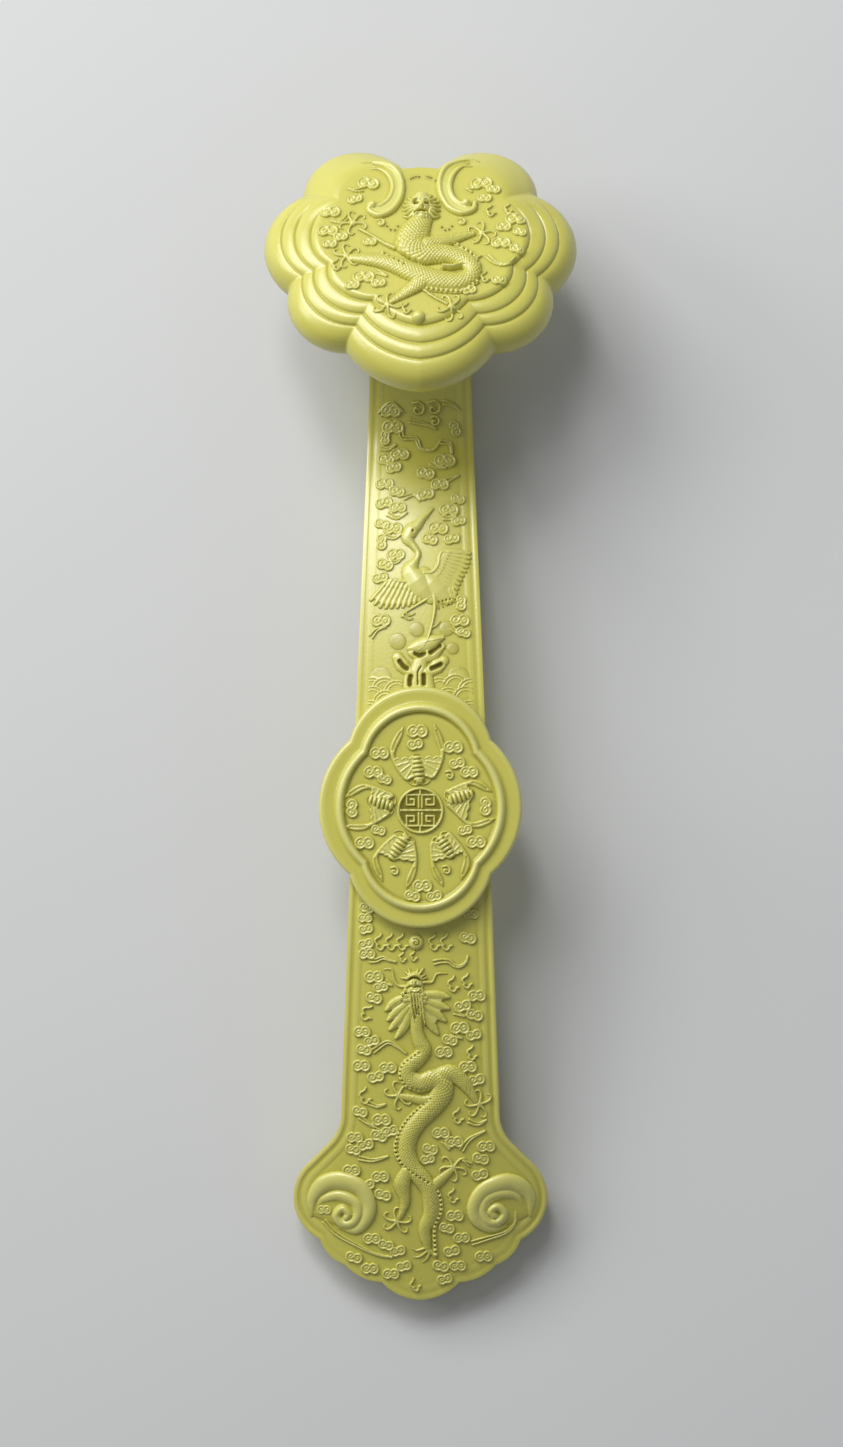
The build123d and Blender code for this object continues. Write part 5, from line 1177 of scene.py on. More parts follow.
def field_half(y):
    """Half width of the room for clouds at y on the tapering shaft, and no limit on the tail."""
    return shaft_half(y) - FIELD_INSET * CLOUD_ROOM if y > FLARE_Y else TAIL_LOBE[0]


def cloud_field(corners, clouds, tails, place, scale=1.0, limit=None):
    """Drawing of clouds, kept inside the field where a limit is given, and of the ribbons that trail from them."""
    sheet = Sheet(*corners)
    for kind, places in clouds.items():
        for px, py, size, turn in places:
            at = place([(px, py)])[0]
            if limit is not None:
                room = limit(at[1]) - CLOUD_HALF * size * scale
                at[0] = np.clip(at[0], -room, room)
            draw_cloud(sheet, at, size * scale, turn, kind)
    for tail in tails:
        draw_ribbon(sheet, place(tail))
    return sheet


def crane_drawings():
    """The crane in five pieces: body, neck and head, two wings, legs."""
    body, neck, right, left, legs = (Sheet(*SHAFT_CORNERS) for _ in range(5))
    draw_strands(body, CRANE_BODY + CRANE_TAIL, on_shaft)
    for (one, *_), (two, *_) in zip(CRANE_TAIL[:-1], CRANE_TAIL[1:]):
        body.carve((on_shaft(one) + on_shaft(two))[1:] / 2, *CRANE_TAIL_CUT)
    draw_strands(neck, CRANE_NECK, on_shaft)
    neck.pit(on_shaft([CRANE_EYE]), *CRANE_EYE_PIT)
    draw_wing(right, CRANE_RIGHT_ROOTS, CRANE_RIGHT_TIPS, RIGHT_WING)
    draw_strands(right, (CRANE_RIGHT_EDGE,), on_shaft)
    draw_wing(left, CRANE_LEFT_ROOTS, CRANE_LEFT_TIPS, LEFT_WING)
    draw_strands(left, (CRANE_LEFT_EDGE,), on_shaft)
    draw_strands(legs, CRANE_LEGS, on_shaft)
    return {"crane_body": body, "crane_neck": neck, "crane_wing_right": right, "crane_wing_left": left,
            "crane_legs": legs}


def shore_drawings():
    """The pierced rock that the crane stands on, and the waves behind it."""
    rock, waves = Sheet(*SHAFT_CORNERS), Sheet(*SHAFT_CORNERS)
    for px, py, radius in ROCK_DOMES:
        rock.dot(on_shaft([(px, py)]), radius, *ROCK_DOME)
    draw_strands(rock, ROCK_BLOCKS, on_shaft)
    # The rock's holes and lines are cut and painted near black as shade
    each(rock.carve, ROCK_HOLES, on_shaft, *ROCK_HOLE)
    each(rock.carve, ROCK_LINES, on_shaft, *ROCK_LINE)
    draw_strands(rock, (ROCK_TABLE,), on_shaft)
    for px, py, radius in WAVE_SWELLS:
        waves.dot(on_shaft([(px, py)]), radius, *WAVE_SWELL)
    t = np.radians(np.linspace(*WAVE_TURN))
    for px, py in WAVE_ARCS:
        middle, crest = on_shaft([(px, py), (px, py - WAVE_RADII[0])])
        reach = np.hypot(waves.x[:, None] - middle[0], waves.y - middle[1])
        waves.h[reach < crest[1] - middle[1]] = 0
        for radius in WAVE_RADII:
            waves.stroke(on_shaft(np.stack([px + radius * np.cos(t), py - radius * np.sin(t)], axis=1)), *WAVE_LINE)
    edge = shaft_half(waves.y) - WAVE_INSET
    waves.h *= (np.abs(waves.x)[:, None] < edge) & (rock.h < RAISED)
    return {"rock": rock, "wave_bands": waves}


def dragon_drawings():
    """The long dragon in six pieces, with its pearl and flames."""
    net, beard = scales(*SHAFT_SCALES), np.array(DRAGON_BEARD)
    neck, body, head, mane, legs, claws, pearl, flames = (Sheet(*SHAFT_CORNERS) for _ in range(8))
    draw_strands(neck, DRAGON_NECK, on_shaft, net, SCALED_POWER)
    each(neck.carve, (beard[:-1] + beard[1:]) / 2, on_shaft, *BEARD_CUT)
    draw_spines(neck, on_shaft(DRAGON_SPINES[0]))
    draw_strands(body, DRAGON_BODY, on_shaft, net, SCALED_POWER)
    for line in DRAGON_SPINES[1:]:
        draw_spines(body, on_shaft(line))
    each(body.stroke, DRAGON_TAIL_HAIRS, on_shaft, *TAIL_HAIR)
    draw_strands(head, DRAGON_SKULL, on_shaft)
    each(head.stroke, DRAGON_SPIKES, on_shaft, *SPIKE)
    each(head.dot, DRAGON_RUFF, on_shaft, *RUFF_DOT)
    each(head.pit, DRAGON_RUFF, on_shaft, *RUFF_PIT)
    head.carve(on_shaft(DRAGON_BROW), *BROW_CUT)
    head.carve(on_shaft(DRAGON_MOUTH), *MOUTH_CUT)
    head.dot(on_shaft([DRAGON_SNOUT]), *SNOUT_DOT)
    each(head.pit, DRAGON_EYES, on_shaft, *EYE_PIT)
    each(head.stroke, DRAGON_BEARD, on_shaft, *BEARD_HAIR)
    each(mane.fill, DRAGON_WEB, on_shaft, *WEB_BED)
    each(mane.stroke, DRAGON_LEAVES, on_shaft, *DRAGON_LEAF)
    for leaf in DRAGON_LEAVES:
        path = curve(on_shaft(leaf))
        for side in VEINS:
            mane.carve((path + sideways(path) * side)[: int(len(path) * VEIN_REACH)], *VEIN_CUT)
    draw_strands(legs, DRAGON_LEGS, on_shaft, net, SCALED_POWER)
    for px, py, heading in DRAGON_CLAWS:
        draw_claw(claws, on_shaft([(px, py)])[0], heading, CLAW_REACH)
    at = on_shaft([PEARL])[0]
    pearl.dot(at, *PEARL_DOT)
    pearl.carve(turned(CURL, at, PEARL_CURL), *PEARL_CUT)
    for px in PEARL_FLAMES:
        draw_cloud(flames, on_shaft([(px, PEARL[1])])[0], FLAME_SIZE, 0, "flame")
    return {"dragon_neck": neck, "dragon_body": body, "dragon_head": head, "dragon_mane": mane, "dragon_legs": legs,
            "dragon_claws": claws, "pearl": pearl, "pearl_flames": flames}


def volute_drawings():
    """The two volutes on the tail: a broad roll and a second one that winds in to the middle."""
    out = {}
    for name, (outer, inner) in TAIL_VOLUTES.items():
        out[name] = sheet = Sheet(*SHAFT_CORNERS)
        sheet.fill(curve(on_shaft(outer)), *VOLUTE_BED)
        sheet.stroke(on_shaft(outer), *VOLUTE_OUTER, ROLL_POWER)
        sheet.stroke(on_shaft(inner), *VOLUTE_INNER, ROLL_POWER)
    return out


@functools.lru_cache(maxsize=None)
def shaft_drawings():
    """Every relief on the shaft and tail, as a drawing by the name of its piece."""
    return {
        "upper_clouds": cloud_field(SHAFT_CORNERS, UPPER_CLOUDS, UPPER_TAILS, on_shaft, CLOUD_SCALE, field_half),
        "lower_clouds": cloud_field(SHAFT_CORNERS, LOWER_CLOUDS, LOWER_TAILS, on_shaft, CLOUD_SCALE, field_half),
        "tail_clouds": cloud_field(SHAFT_CORNERS, TAIL_CLOUDS, TAIL_TAILS, on_shaft, CLOUD_SCALE),
        **crane_drawings(), **shore_drawings(), **dragon_drawings(), **volute_drawings(),
    }


def draw_mask(mask, middle):
    """The head dragon's face seen from in front: skull, brow, eyes, nose, jaw, with hair raying out round it."""
    def about(points, side=1):
        return np.array(points) * (side, 1) + middle

    for k in range(MASK_HAIRS):
        angle = math.radians(MASK_HAIR_FROM + MASK_HAIR_SPREAD * k / (MASK_HAIRS - 1))
        hair = about(np.outer(MASK_HAIR_REACH, (math.cos(angle), math.sin(angle))))
        hair[-1] += MASK_HAIR_TIP
        mask.stroke(hair, *MASK_HAIR)
    mask.stroke(about(MASK_SKULL[0]), *MASK_SKULL[1:])
    for side in (-1, 1):
        mask.stroke(about(MASK_BROW[0], side), *MASK_BROW[1:])
        mask.carve(about(MASK_EYE[0], side), *MASK_EYE[1:])
        mask.carve(about(MASK_NOSTRIL[0], side), *MASK_NOSTRIL[1:])
        draw_strands(mask, MASK_SIDE_HAIRS, functools.partial(about, side=side))
    mask.dot(about(MASK_NOSE[0]), *MASK_NOSE[1:])
    mask.carve(about(MASK_MOUTH[0]), *MASK_MOUTH[1:])
    mask.stroke(about(MASK_LIP[0]), *MASK_LIP[1:])
    for line in HEAD_DOTS:
        for spot in resample(curve(on_panel(line)), HEAD_DOT_COUNT):
            mask.dot(spot, *HEAD_DOT)
            mask.carve([spot, spot + NUDGE], *HEAD_DOT_PIT)


@functools.lru_cache(maxsize=None)
def head_drawings():
    """Every relief on the head, as a drawing by the name of its piece."""
    net = scales(*HEAD_SCALES)
    body, mask, legs, claws, pearl = (Sheet(*PANEL_CORNERS) for _ in range(5))
    draw_strands(body, HEAD_DRAGON_BODY, on_panel, net, SCALED_POWER)
    for line in HEAD_DRAGON_SPINES:
        draw_spines(body, on_panel(line))
    draw_strands(body, (HEAD_DRAGON_TAIL,), on_panel)
    draw_mask(mask, on_panel([HEAD_DRAGON_FACE])[0])
    draw_strands(legs, HEAD_DRAGON_LEGS, on_panel, net, SCALED_POWER)
    for px, py, heading in HEAD_DRAGON_CLAWS:
        draw_claw(claws, on_panel([(px, py)])[0], heading, HEAD_CLAW_REACH)
    pearl.dot(on_panel([HEAD_PEARL]), *HEAD_PEARL_DOT)
    out = {"head_clouds": cloud_field(PANEL_CORNERS, HEAD_CLOUDS, HEAD_TAILS, on_panel), "head_dragon_body": body,
           "head_dragon_mask": mask, "head_dragon_legs": legs, "head_dragon_claws": claws, "head_pearl": pearl}
    for name, (outer, inner, ball) in HEAD_SCROLLS.items():
        out[name] = scroll = Sheet(*PANEL_CORNERS)
        outer, inner = on_panel(outer), on_panel(inner)
        scroll.stroke(outer, *SCROLL_OUTER, ROLL_POWER)
        scroll.stroke(inner, *SCROLL_INNER, ROLL_POWER)
        between = (resample(curve(outer), SCROLL_STEPS + 2)[1:-1] + resample(curve(inner), SCROLL_STEPS)) / 2
        scroll.stroke(between, *SCROLL_BETWEEN)
        scroll.dot(on_panel([ball]), *SCROLL_BALL)
    return out


def draw_bat(bat, body, nose, wings):
    """Bat: a ribbed body, a small head with feelers, sickle wings and a scalloped skin between them."""
    body, nose = on_plaque([body, nose])
    ahead = (nose - body) / np.linalg.norm(nose - body)
    cross = np.array([-ahead[1], ahead[0]])
    root, foot = body - ahead * BAT_ROOT, body - ahead * FINGER_FOOT
    share = np.linspace(0, 1, SCALLOP_STEPS)[1:-1, None]
    for wing in wings:
        edge = curve(on_plaque(wing))
        skin_end, fold_from, fold_to = (len(edge) * s // WING_PARTS for s in (SKIN_END, FOLD_FROM, FOLD_TO))
        near = edge[:skin_end]
        dip = ahead * SCALLOP_DEPTH * np.abs(np.sin(SCALLOP_COUNT * math.pi * share))
        scallop = near[-1] * (1 - share) + root * share - dip
        bat.fill(np.concatenate([near, scallop, [root, nose]]), *BAT_SKIN)
        bat.stroke(scallop, *SCALLOP, smooth=False)
        for finger in FINGERS:
            knuckle = edge[int(finger * len(edge))]
            bat.stroke([knuckle, knuckle * FINGER_REACH + foot * (1 - FINGER_REACH)], *FINGER)
        bat.stroke(edge, *BAT_WING)
        bat.carve(edge[fold_from:fold_to], *BAT_FOLD)
    spine = [at + ahead * step for at, step in zip((body, body, nose), BAT_BODY_LINE)]
    bat.stroke(spine, *BAT_BODY, ribs(*BAT_RIBS))
    bat.dot(nose, *BAT_HEAD)
    for side in (-1, 1):
        axes = np.array([ahead, cross * side])
        bat.dot(nose + BAT_EAR_PLACE @ axes, *BAT_EAR)
        bat.stroke(nose + BAT_FEELER_LINE @ axes, *BAT_FEELER)


@functools.lru_cache(maxsize=None)
def medallion_drawings():
    """Every relief on the medallion, as a drawing by the name of its piece."""
    out = {"medallion_clouds": cloud_field(PLAQUE_CORNERS, MEDALLION_CLOUDS, (), on_plaque, CLOUD_SCALE)}
    for name, (body, nose, *wings) in BATS.items():
        out[name] = Sheet(*PLAQUE_CORNERS)
        draw_bat(out[name], body, nose, wings)
    out["fret_roundel"] = boss = Sheet(*PLAQUE_CORNERS)
    middle = on_plaque([ROUNDEL_PLACE])[0]
    t = np.linspace(0, 2 * math.pi, ROUNDEL_STEPS)
    ring = np.stack([np.cos(t), np.sin(t)], axis=1)
    boss.fill(ring[:-1] * ROUNDEL_R + middle, *ROUNDEL_BED)
    # Painted shade: the boss's ground between its ring and fret lines is drawn dark
    boss.shade[boss.h > ROUNDEL_DEEP] = ROUNDEL_SHADE
    boss.stroke(ring * (ROUNDEL_R - ROUNDEL_RING_INSET) + middle, *ROUNDEL_RING, smooth=False)
    for mirror in ((-1, -1), (-1, 1), (1, -1), (1, 1)):
        boss.stroke(resample(np.array(FRET_HOOK) * mirror + middle, FRET_STEPS), *FRET_LINE, smooth=False)
    for bar in FRET_BARS:
        boss.stroke(np.array(bar) + middle, *FRET_BAR)
    return out


def node(tree, kind, values, **sources):
    """New node of a material: values of its inputs by name, then the outputs that feed its other inputs."""
    made = tree.nodes.new("ShaderNode" + kind)
    for name, value in values.items():
        made.inputs[name].default_value = value
    for name, source in sources.items():
        tree.links.new(source, made.inputs[name])
    return made


def ranged(tree, value, low, high, start, end):
    """A value carried from the range low to high into the range start to end."""
    ends = {"From Min": low, "From Max": high, "To Min": start, "To Max": end}
    return node(tree, "MapRange", ends, Value=value).outputs["Result"]


def mixed(tree, share, colour, other, blend="MIX"):
    """A colour mixed by a share with a fixed other one. The mix node's colours are its inputs 6 and 7, output 2."""
    mix = node(tree, "Mix", {}, Factor=share)
    mix.data_type, mix.blend_type = "RGBA", blend
    tree.links.new(colour, mix.inputs[6])
    mix.inputs[7].default_value = other
    return mix.outputs[2]


def new_material(name):
    """A new material, its node tree and its shader."""
    material = bpy.data.materials.new(name)
    material.use_nodes = True
    return material, material.node_tree, material.node_tree.nodes["Principled BSDF"]


def glaze(name, colours, roughness):
    """Semi-gloss glaze: its colour follows the surface's lift, with clouding. Low lift is deep, as glaze pooling and
    painted shade in recesses; high lift is pale, as thin glaze and painted highlight on edges. The specular level and
    coat fall with the lift too, which darkens the pits.
    """
    material, tree, shader = new_material(name)
    attribute = node(tree, "Attribute", {})
    attribute.attribute_name = "lift"
    lift = attribute.outputs["Fac"]
    ramp = node(tree, "ValToRGB", {}, Fac=lift)
    stops = ramp.color_ramp.elements
    stops.remove(stops[1])
    stops[0].color = (*colours[0], 1)
    for height, colour in zip(GLAZE_STOPS, colours[1:]):
        stops.new(height).color = (*colour, 1)
    place = node(tree, "TexCoord", {}).outputs["Object"]
    cloudy = node(tree, "TexNoise", CLOUDING, Vector=place).outputs["Fac"]
    spots = node(tree, "TexVoronoi", PINHOLES, Vector=place).outputs["Distance"]
    grain = node(tree, "TexNoise", GRAIN, Vector=place).outputs["Fac"]
    tinted = mixed(tree, ranged(tree, cloudy, *CLOUDING_RANGE), ramp.outputs["Color"], CLOUDING_TINT, "MULTIPLY")
    feeds = {
        "Base Color": mixed(tree, ranged(tree, spots, *PINHOLE_RANGE), tinted, (*colours[0], 1)),
        "Normal": node(tree, "Bump", GRAIN_RISE, Height=grain).outputs["Normal"],
        "Roughness": ranged(tree, cloudy, 0.0, 1.0, *(roughness + spread for spread in GLOSS_SPREAD)),
        "Specular IOR Level": ranged(tree, lift, *SHEEN_RANGE),
        "Coat Weight": ranged(tree, lift, *COAT_RANGE),
    }
    for socket, source in feeds.items():
        tree.links.new(source, shader.inputs[socket])
    shader.inputs["Coat Roughness"].default_value = COAT_ROUGHNESS
    return material


def finish_of(slot):
    """The glaze of a slot, made once from the colours in the sidebar."""
    name = "yellow " + slot.replace("_", " ")
    if name in bpy.data.materials:
        return bpy.data.materials[name]
    look = bpy.context.scene.sceptre_glaze
    return glaze(name, [tuple(c) for c in (look.pit, look.deep, look.body, look.pale)], look.roughness)


class SceptreSizes(bpy.types.PropertyGroup):
    """Sizes a maker would change."""

    relief: bpy.props.FloatProperty(
        name="Relief", description="Height of the moulded relief, as a share of the drawn one", default=1.0,
        min=0.2, max=2.0)
    sink: bpy.props.FloatProperty(
        name="Sink", description="How far a relief's foot goes under the ground", default=0.0004, unit="LENGTH")
    bead: bpy.props.FloatProperty(
        name="Rim bead", description="Width of the bead along the shaft's edge", default=0.0019, unit="LENGTH")


class SceptreGlaze(bpy.types.PropertyGroup):
    """Colours of the glaze and the table, in linear light."""

    # Pit is painted shade: near-black glaze in holes and cut lines
    pit: bpy.props.FloatVectorProperty(
        name="Pit", description="Glaze in holes and cut lines", subtype="COLOR", size=3, default=(0.085, 0.062, 0.004))
    # Deep stands for glaze pooling in recesses and for painted shade there
    deep: bpy.props.FloatVectorProperty(
        name="Deep", description="Glaze pooled in recesses", subtype="COLOR", size=3, default=(0.34, 0.305, 0.026))
    body: bpy.props.FloatVectorProperty(
        name="Body", description="Glaze on open ground", subtype="COLOR", size=3, default=(0.59, 0.555, 0.090))
    # Pale stands for thin glaze over edges and for a painted highlight, whiter than the body
    pale: bpy.props.FloatVectorProperty(
        name="Pale", description="Glaze drawn thin over edges", subtype="COLOR", size=3, default=(0.78, 0.755, 0.300))
    roughness: bpy.props.FloatProperty(
        name="Roughness", description="Roughness of the glaze", default=0.34, min=0.05, max=0.9)
    floor: bpy.props.FloatVectorProperty(
        name="Floor", description="Colour of the table", subtype="COLOR", size=3, default=(0.65, 0.657, 0.655))


class SCEPTRE_OT_shaft(bpy.types.Operator):
    """Builds the front and back shells of the shaft, neck and tail."""

    bl_idname = "sceptre.shaft"
    bl_label = "Shaft shells"

    def execute(self, context):
        bead = context.scene.sceptre_sizes.bead / MM
        border = np.concatenate([bead * np.array(BEAD_SHARES), bead + np.array(RIM_INSETS)])
        plan = shaft_rows(border, FIELD_STEPS)
        x, y = plan[..., 0], plan[..., 1]
        left, right = plan[:, 0], plan[:, -1]
        heart = heart_line(right)[:, None]
        t = 2 * np.linspace(0, 1, SEAM_STEPS)[None, 1:-1, None]
        across = np.where(t < 1, right[:, None] * (1 - t) + heart * t, heart * (2 - t) + left[:, None] * (t - 1))
        seam = shell_point(across[..., 0], across[..., 1], SEAM_DEPTH)

        d = both_sides(np.concatenate([border, np.full(FIELD_STEPS - 1, border[-1] + 1.0)]))
        last_notch = TAIL_Y + TAIL_NOTCHES[-1][1]
        fade = RIM_TAIL + (1 - RIM_TAIL) * ease(y[:, :1], *(last_notch + row for row in RIM_TAIL_ROWS))
        fade = fade * (1 - RIM_SOFT * ease(y[:, :1], *RIM_SOFT_ROWS))
        height = (rim_height(d, bead) + FIELD_DROP) * fade - FIELD_DROP
        top = shell_point(x, y, crown(x) - height)
        # Painted highlight on the rim's raised bead and painted shade in its groove follow its height; the field is
        # darker beside reliefs, as glaze pooling and painted shade
        rim_lift = np.clip(GROUND_LIFT + 0.5 * (height + FIELD_DROP), *RIM_LIFT)
        lift = np.where(d < border[-1], rim_lift, GROUND_LIFT - SHAFT_POOL_SHADE * pooled_and_shaded(shaft_drawings(), x, y))
        drop = crown(right[:, :1])
        level = np.maximum(WALL_DEPTHS, np.minimum(drop + WALL_START, SEAM_DEPTH - WALL_END))
        level[:, -1] = SEAM_DEPTH
        walls = [shell_point(edge[:, :1], edge[:, 1:], level) for edge in (right, left)]
        loop = np.concatenate([top, walls[0], seam, walls[1][:, ::-1]], axis=1)
        plain = np.full((len(loop), loop.shape[1] - top.shape[1]), GROUND_LIFT)
        put_rings("shaft_front", loop, np.concatenate([lift, plain], axis=1), ["shaft_front_shell"], "face_glaze",
                  folded=True)

        insets, rise = np.array(BACK_EDGE).T
        plan = shaft_rows(insets, BACK_STEPS)
        depth = both_sides(np.concatenate([THICKNESS - rise, np.full(BACK_STEPS - 1, THICKNESS)]))
        bottom = shell_point(plan[..., 0], plan[..., 1], depth)
        level = np.array([SEAM_DEPTH, SEAM_DEPTH + BACK_WALL])
        walls = [shell_point(edge[:, :1], edge[:, 1:], level) for edge in (right, left)]
        loop = np.concatenate([bottom[:, ::-1], walls[1][:, ::-1], seam[:, ::-1], walls[0]], axis=1)
        put_rings("shaft_back", loop, GROUND_LIFT, ["shaft_back_shell"], "back_glaze", folded=True)
        return {"FINISHED"}


class SCEPTRE_OT_head(bpy.types.Operator):
    """Builds the head's cap and its back plate."""

    bl_idname = "sceptre.head"
    bl_label = "Head"

    def execute(self, context):
        outline, narrow, melt = cap_ring()
        profile = np.concatenate([HEAD_WALL, tier_profile()])
        inset, height, lift = profile.T[..., None]
        top, sheen = cap_profile(inset, melt[None])
        high = np.arange(len(profile))[:, None] >= len(HEAD_WALL) - WALL_TOP_ROWS
        height, lift = np.where(high, top, height), np.where(high, sheen, lift)
        spread = np.where(high, narrow[None], 1 + (narrow[None] - 1) * ease(height, *CAP_SPREAD_HEIGHTS))
        share = 1 - inset * spread / HEAD_HALF[0]
        inner = np.linspace(1, RING_END, PANEL_RINGS)[1:, None]
        share = np.concatenate([share, share[-1:] * inner])
        panel = np.ones((len(inner), len(outline)))
        height = np.concatenate([height, PANEL_TOP * panel])
        lift = np.concatenate([lift, GROUND_LIFT * panel])
        u, v = outline[:, 0] * share, outline[:, 1] * share
        # The panel's ground is darker beside reliefs, as glaze pooling and painted shade
        ground = GROUND_LIFT - HEAD_POOL_SHADE * pooled_and_shaded(head_drawings(), u, v)
        lift = np.where(height >= PANEL_TOP - PANEL_EDGE, ground, lift)
        put_rings("head_cap_skin", head_map(u, v, height), lift, ["head_cap"], "face_glaze")

        rings = np.stack([head_map(*(outline * (1 - i / HEAD_HALF[0])).T, h) for i, h in PLATE_RINGS])
        put_rings("head_back", rings, GROUND_LIFT, ["head_back_plate"], "back_glaze", flip=True)
        return {"FINISHED"}


class SCEPTRE_OT_medallion(bpy.types.Operator):
    """Builds the quatrefoil plaque."""

    bl_idname = "sceptre.medallion"
    bl_label = "Medallion"

    def execute(self, context):
        inset, height, lift = MEDALLION_PROFILE.T
        rings = [quatrefoil_ring(i) for i in inset]
        inner = np.linspace(1, RING_END, MEDALLION_RINGS)[1:]
        rings = np.stack(rings + [rings[-1] * s for s in inner])
        x, y = rings[..., 0], rings[..., 1]
        height = np.concatenate([height, np.zeros(len(inner))])[:, None]
        lift = np.concatenate([lift, np.full(len(inner), GROUND_LIFT)])[:, None]
        field = np.arange(len(rings))[:, None] >= len(inset) - MEDALLION_FIELD_ROWS
        # The field is darker beside reliefs, as glaze pooling and painted shade
        lift = np.where(field, GROUND_LIFT - PLAQUE_POOL_SHADE * pooled_and_shaded(medallion_drawings(), x, y), lift)
        put_rings("medallion", plaque_map(x, y, height), lift, ["medallion_plaque"], "face_glaze")
        return {"FINISHED"}


def put_reliefs(drawings, place, sizes):
    """One relief skin for each drawing: pale on its crests, as thin glaze and painted highlight, and deep at its foot
    and in its cut lines, as glaze pooling and painted shade.
    """
    for name, sheet in drawings.items():
        points, faces, height, shade = sheet.skin(place, sizes.relief, sizes.sink / MM)
        crest = np.clip(height, 0, None) / min(RELIEF_FULL, float(sheet.h.max()))
        lift = (RELIEF_FOOT + RELIEF_LIFT * ease(crest, 0.0, RELIEF_CREST)) * (1 - RELIEF_SHADE * shade)
        put_mesh(name, points, faces, lift, [name], "relief_glaze")


class SCEPTRE_OT_shaft_reliefs(bpy.types.Operator):
    """Lays the crane, rock, waves, dragon, pearl, clouds and volutes on the shaft and tail."""

    bl_idname = "sceptre.shaft_reliefs"
    bl_label = "Shaft reliefs"

    def execute(self, context):
        put_reliefs(shaft_drawings(), face_map, context.scene.sceptre_sizes)
        return {"FINISHED"}


class SCEPTRE_OT_head_reliefs(bpy.types.Operator):
    """Lays the dragon, pearl, clouds and scrolls on the head's panel."""

    bl_idname = "sceptre.head_reliefs"
    bl_label = "Head reliefs"

    def execute(self, context):
        put_reliefs(head_drawings(), panel_map, context.scene.sceptre_sizes)
        return {"FINISHED"}


class SCEPTRE_OT_medallion_reliefs(bpy.types.Operator):
    """Lays the bats, the clouds and the fret boss on the medallion."""

    bl_idname = "sceptre.medallion_reliefs"
    bl_label = "Medallion reliefs"

    def execute(self, context):
        put_reliefs(medallion_drawings(), plaque_map, context.scene.sceptre_sizes)
        return {"FINISHED"}


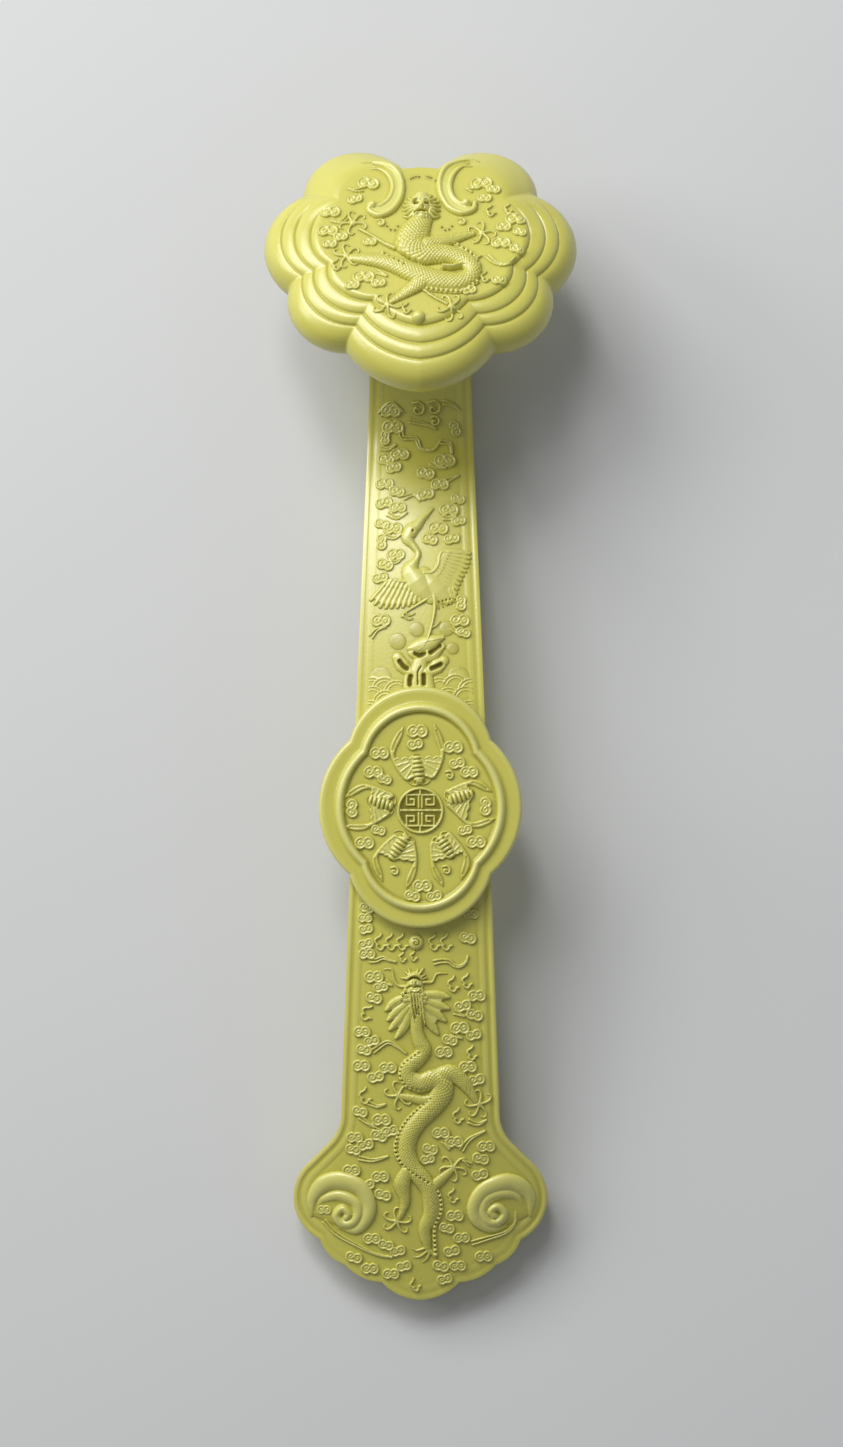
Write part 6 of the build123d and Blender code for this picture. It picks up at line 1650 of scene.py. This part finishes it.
class SCEPTRE_OT_stage(bpy.types.Operator):
    """Sets the table, the room, the lights and the camera, which looks straight down."""

    bl_idname = "sceptre.stage"
    bl_label = "Stage"

    def execute(self, context):
        scene = context.scene
        mesh = bpy.data.meshes.new("table")
        corners = [(x * TABLE_HALF, y * TABLE_HALF, 0) for x, y in ((-1, -1), (1, -1), (1, 1), (-1, 1))]
        mesh.from_pydata(corners, [], [(0, 1, 2, 3)])
        paper, tree, shader = new_material("table_paper")
        place = node(tree, "TexCoord", {}).outputs["Object"]
        ramp = node(tree, "ValToRGB", {}, Fac=node(tree, "TexNoise", TABLE_GRAIN, Vector=place).outputs["Fac"])
        for stop, shade in zip(ramp.color_ramp.elements, TABLE_SHADES):
            stop.color = (*[min(1.0, c * shade) for c in scene.sceptre_glaze.floor], 1)
        tree.links.new(ramp.outputs["Color"], shader.inputs["Base Color"])
        shader.inputs["Roughness"].default_value = TABLE_ROUGHNESS
        shader.inputs["Specular IOR Level"].default_value = TABLE_SHEEN
        mesh.materials.append(paper)
        table = bpy.data.objects.new("table", mesh)
        scene.collection.objects.link(table)

        world = bpy.data.worlds.new("room")
        world.use_nodes = True
        background = world.node_tree.nodes["Background"]
        background.inputs["Color"].default_value = ROOM_COLOUR
        background.inputs["Strength"].default_value = ROOM_STRENGTH
        scene.world = world
        scene.view_settings.view_transform = "Standard"
        for name, spot, size, energy in LIGHTS:
            data = bpy.data.lights.new(name, "AREA")
            data.shape = "RECTANGLE"
            data.size, data.size_y = size
            data.energy = energy
            lamp = bpy.data.objects.new(name, data)
            lamp.location = spot
            aim = np.array(LIGHT_AIM) - np.array(spot)
            lamp.rotation_euler = (math.atan2(math.hypot(aim[0], aim[1]), -aim[2]), 0.0, math.atan2(-aim[0], aim[1]))
            scene.collection.objects.link(lamp)

        data = bpy.data.cameras.new("camera")
        data.sensor_fit = "VERTICAL"
        data.angle_y = 2 * math.atan(PHOTO_ROWS * SHEET_SCALE / 2 / (CAMERA_HEIGHT - SHEET_HEIGHT))
        data.clip_start = CLIP_START
        camera = bpy.data.objects.new("camera", data)
        camera.location = (CAMERA_XY[0] * MM, CAMERA_XY[1] * MM, CAMERA_HEIGHT * MM)
        scene.collection.objects.link(camera)
        scene.camera = camera
        return {"FINISHED"}


STEPS = (
    SCEPTRE_OT_shaft, SCEPTRE_OT_head, SCEPTRE_OT_medallion, SCEPTRE_OT_shaft_reliefs, SCEPTRE_OT_head_reliefs,
    SCEPTRE_OT_medallion_reliefs, SCEPTRE_OT_stage,
)


class SCEPTRE_PT_panel(bpy.types.Panel):
    """Sizes, glaze and building steps of the sceptre."""

    bl_idname = "SCEPTRE_PT_panel"
    bl_label = "Ruyi sceptre"
    bl_space_type = "VIEW_3D"
    bl_region_type = "UI"
    bl_category = "Sceptre"

    def draw(self, context):
        for group in (context.scene.sceptre_sizes, context.scene.sceptre_glaze):
            for name in group.bl_rna.properties.keys():
                if name not in ("rna_type", "name"):
                    self.layout.prop(group, name)
        for step in STEPS:
            self.layout.operator(step.bl_idname)


CLASSES = (SceptreSizes, SceptreGlaze) + STEPS + (SCEPTRE_PT_panel,)


def register():
    """Registers the classes and the two groups of settings."""
    for cls in CLASSES:
        bpy.utils.register_class(cls)
    bpy.types.Scene.sceptre_sizes = bpy.props.PointerProperty(type=SceptreSizes)
    bpy.types.Scene.sceptre_glaze = bpy.props.PointerProperty(type=SceptreGlaze)


def unregister():
    """Removes the settings and the classes."""
    del bpy.types.Scene.sceptre_glaze
    del bpy.types.Scene.sceptre_sizes
    for cls in reversed(CLASSES):
        bpy.utils.unregister_class(cls)


def main():
    """Builds every piece in order."""
    register()
    bpy.ops.sceptre.shaft()
    bpy.ops.sceptre.head()
    bpy.ops.sceptre.medallion()
    bpy.ops.sceptre.shaft_reliefs()
    bpy.ops.sceptre.head_reliefs()
    bpy.ops.sceptre.medallion_reliefs()
    bpy.ops.sceptre.stage()


if __name__ == "__main__":
    main()
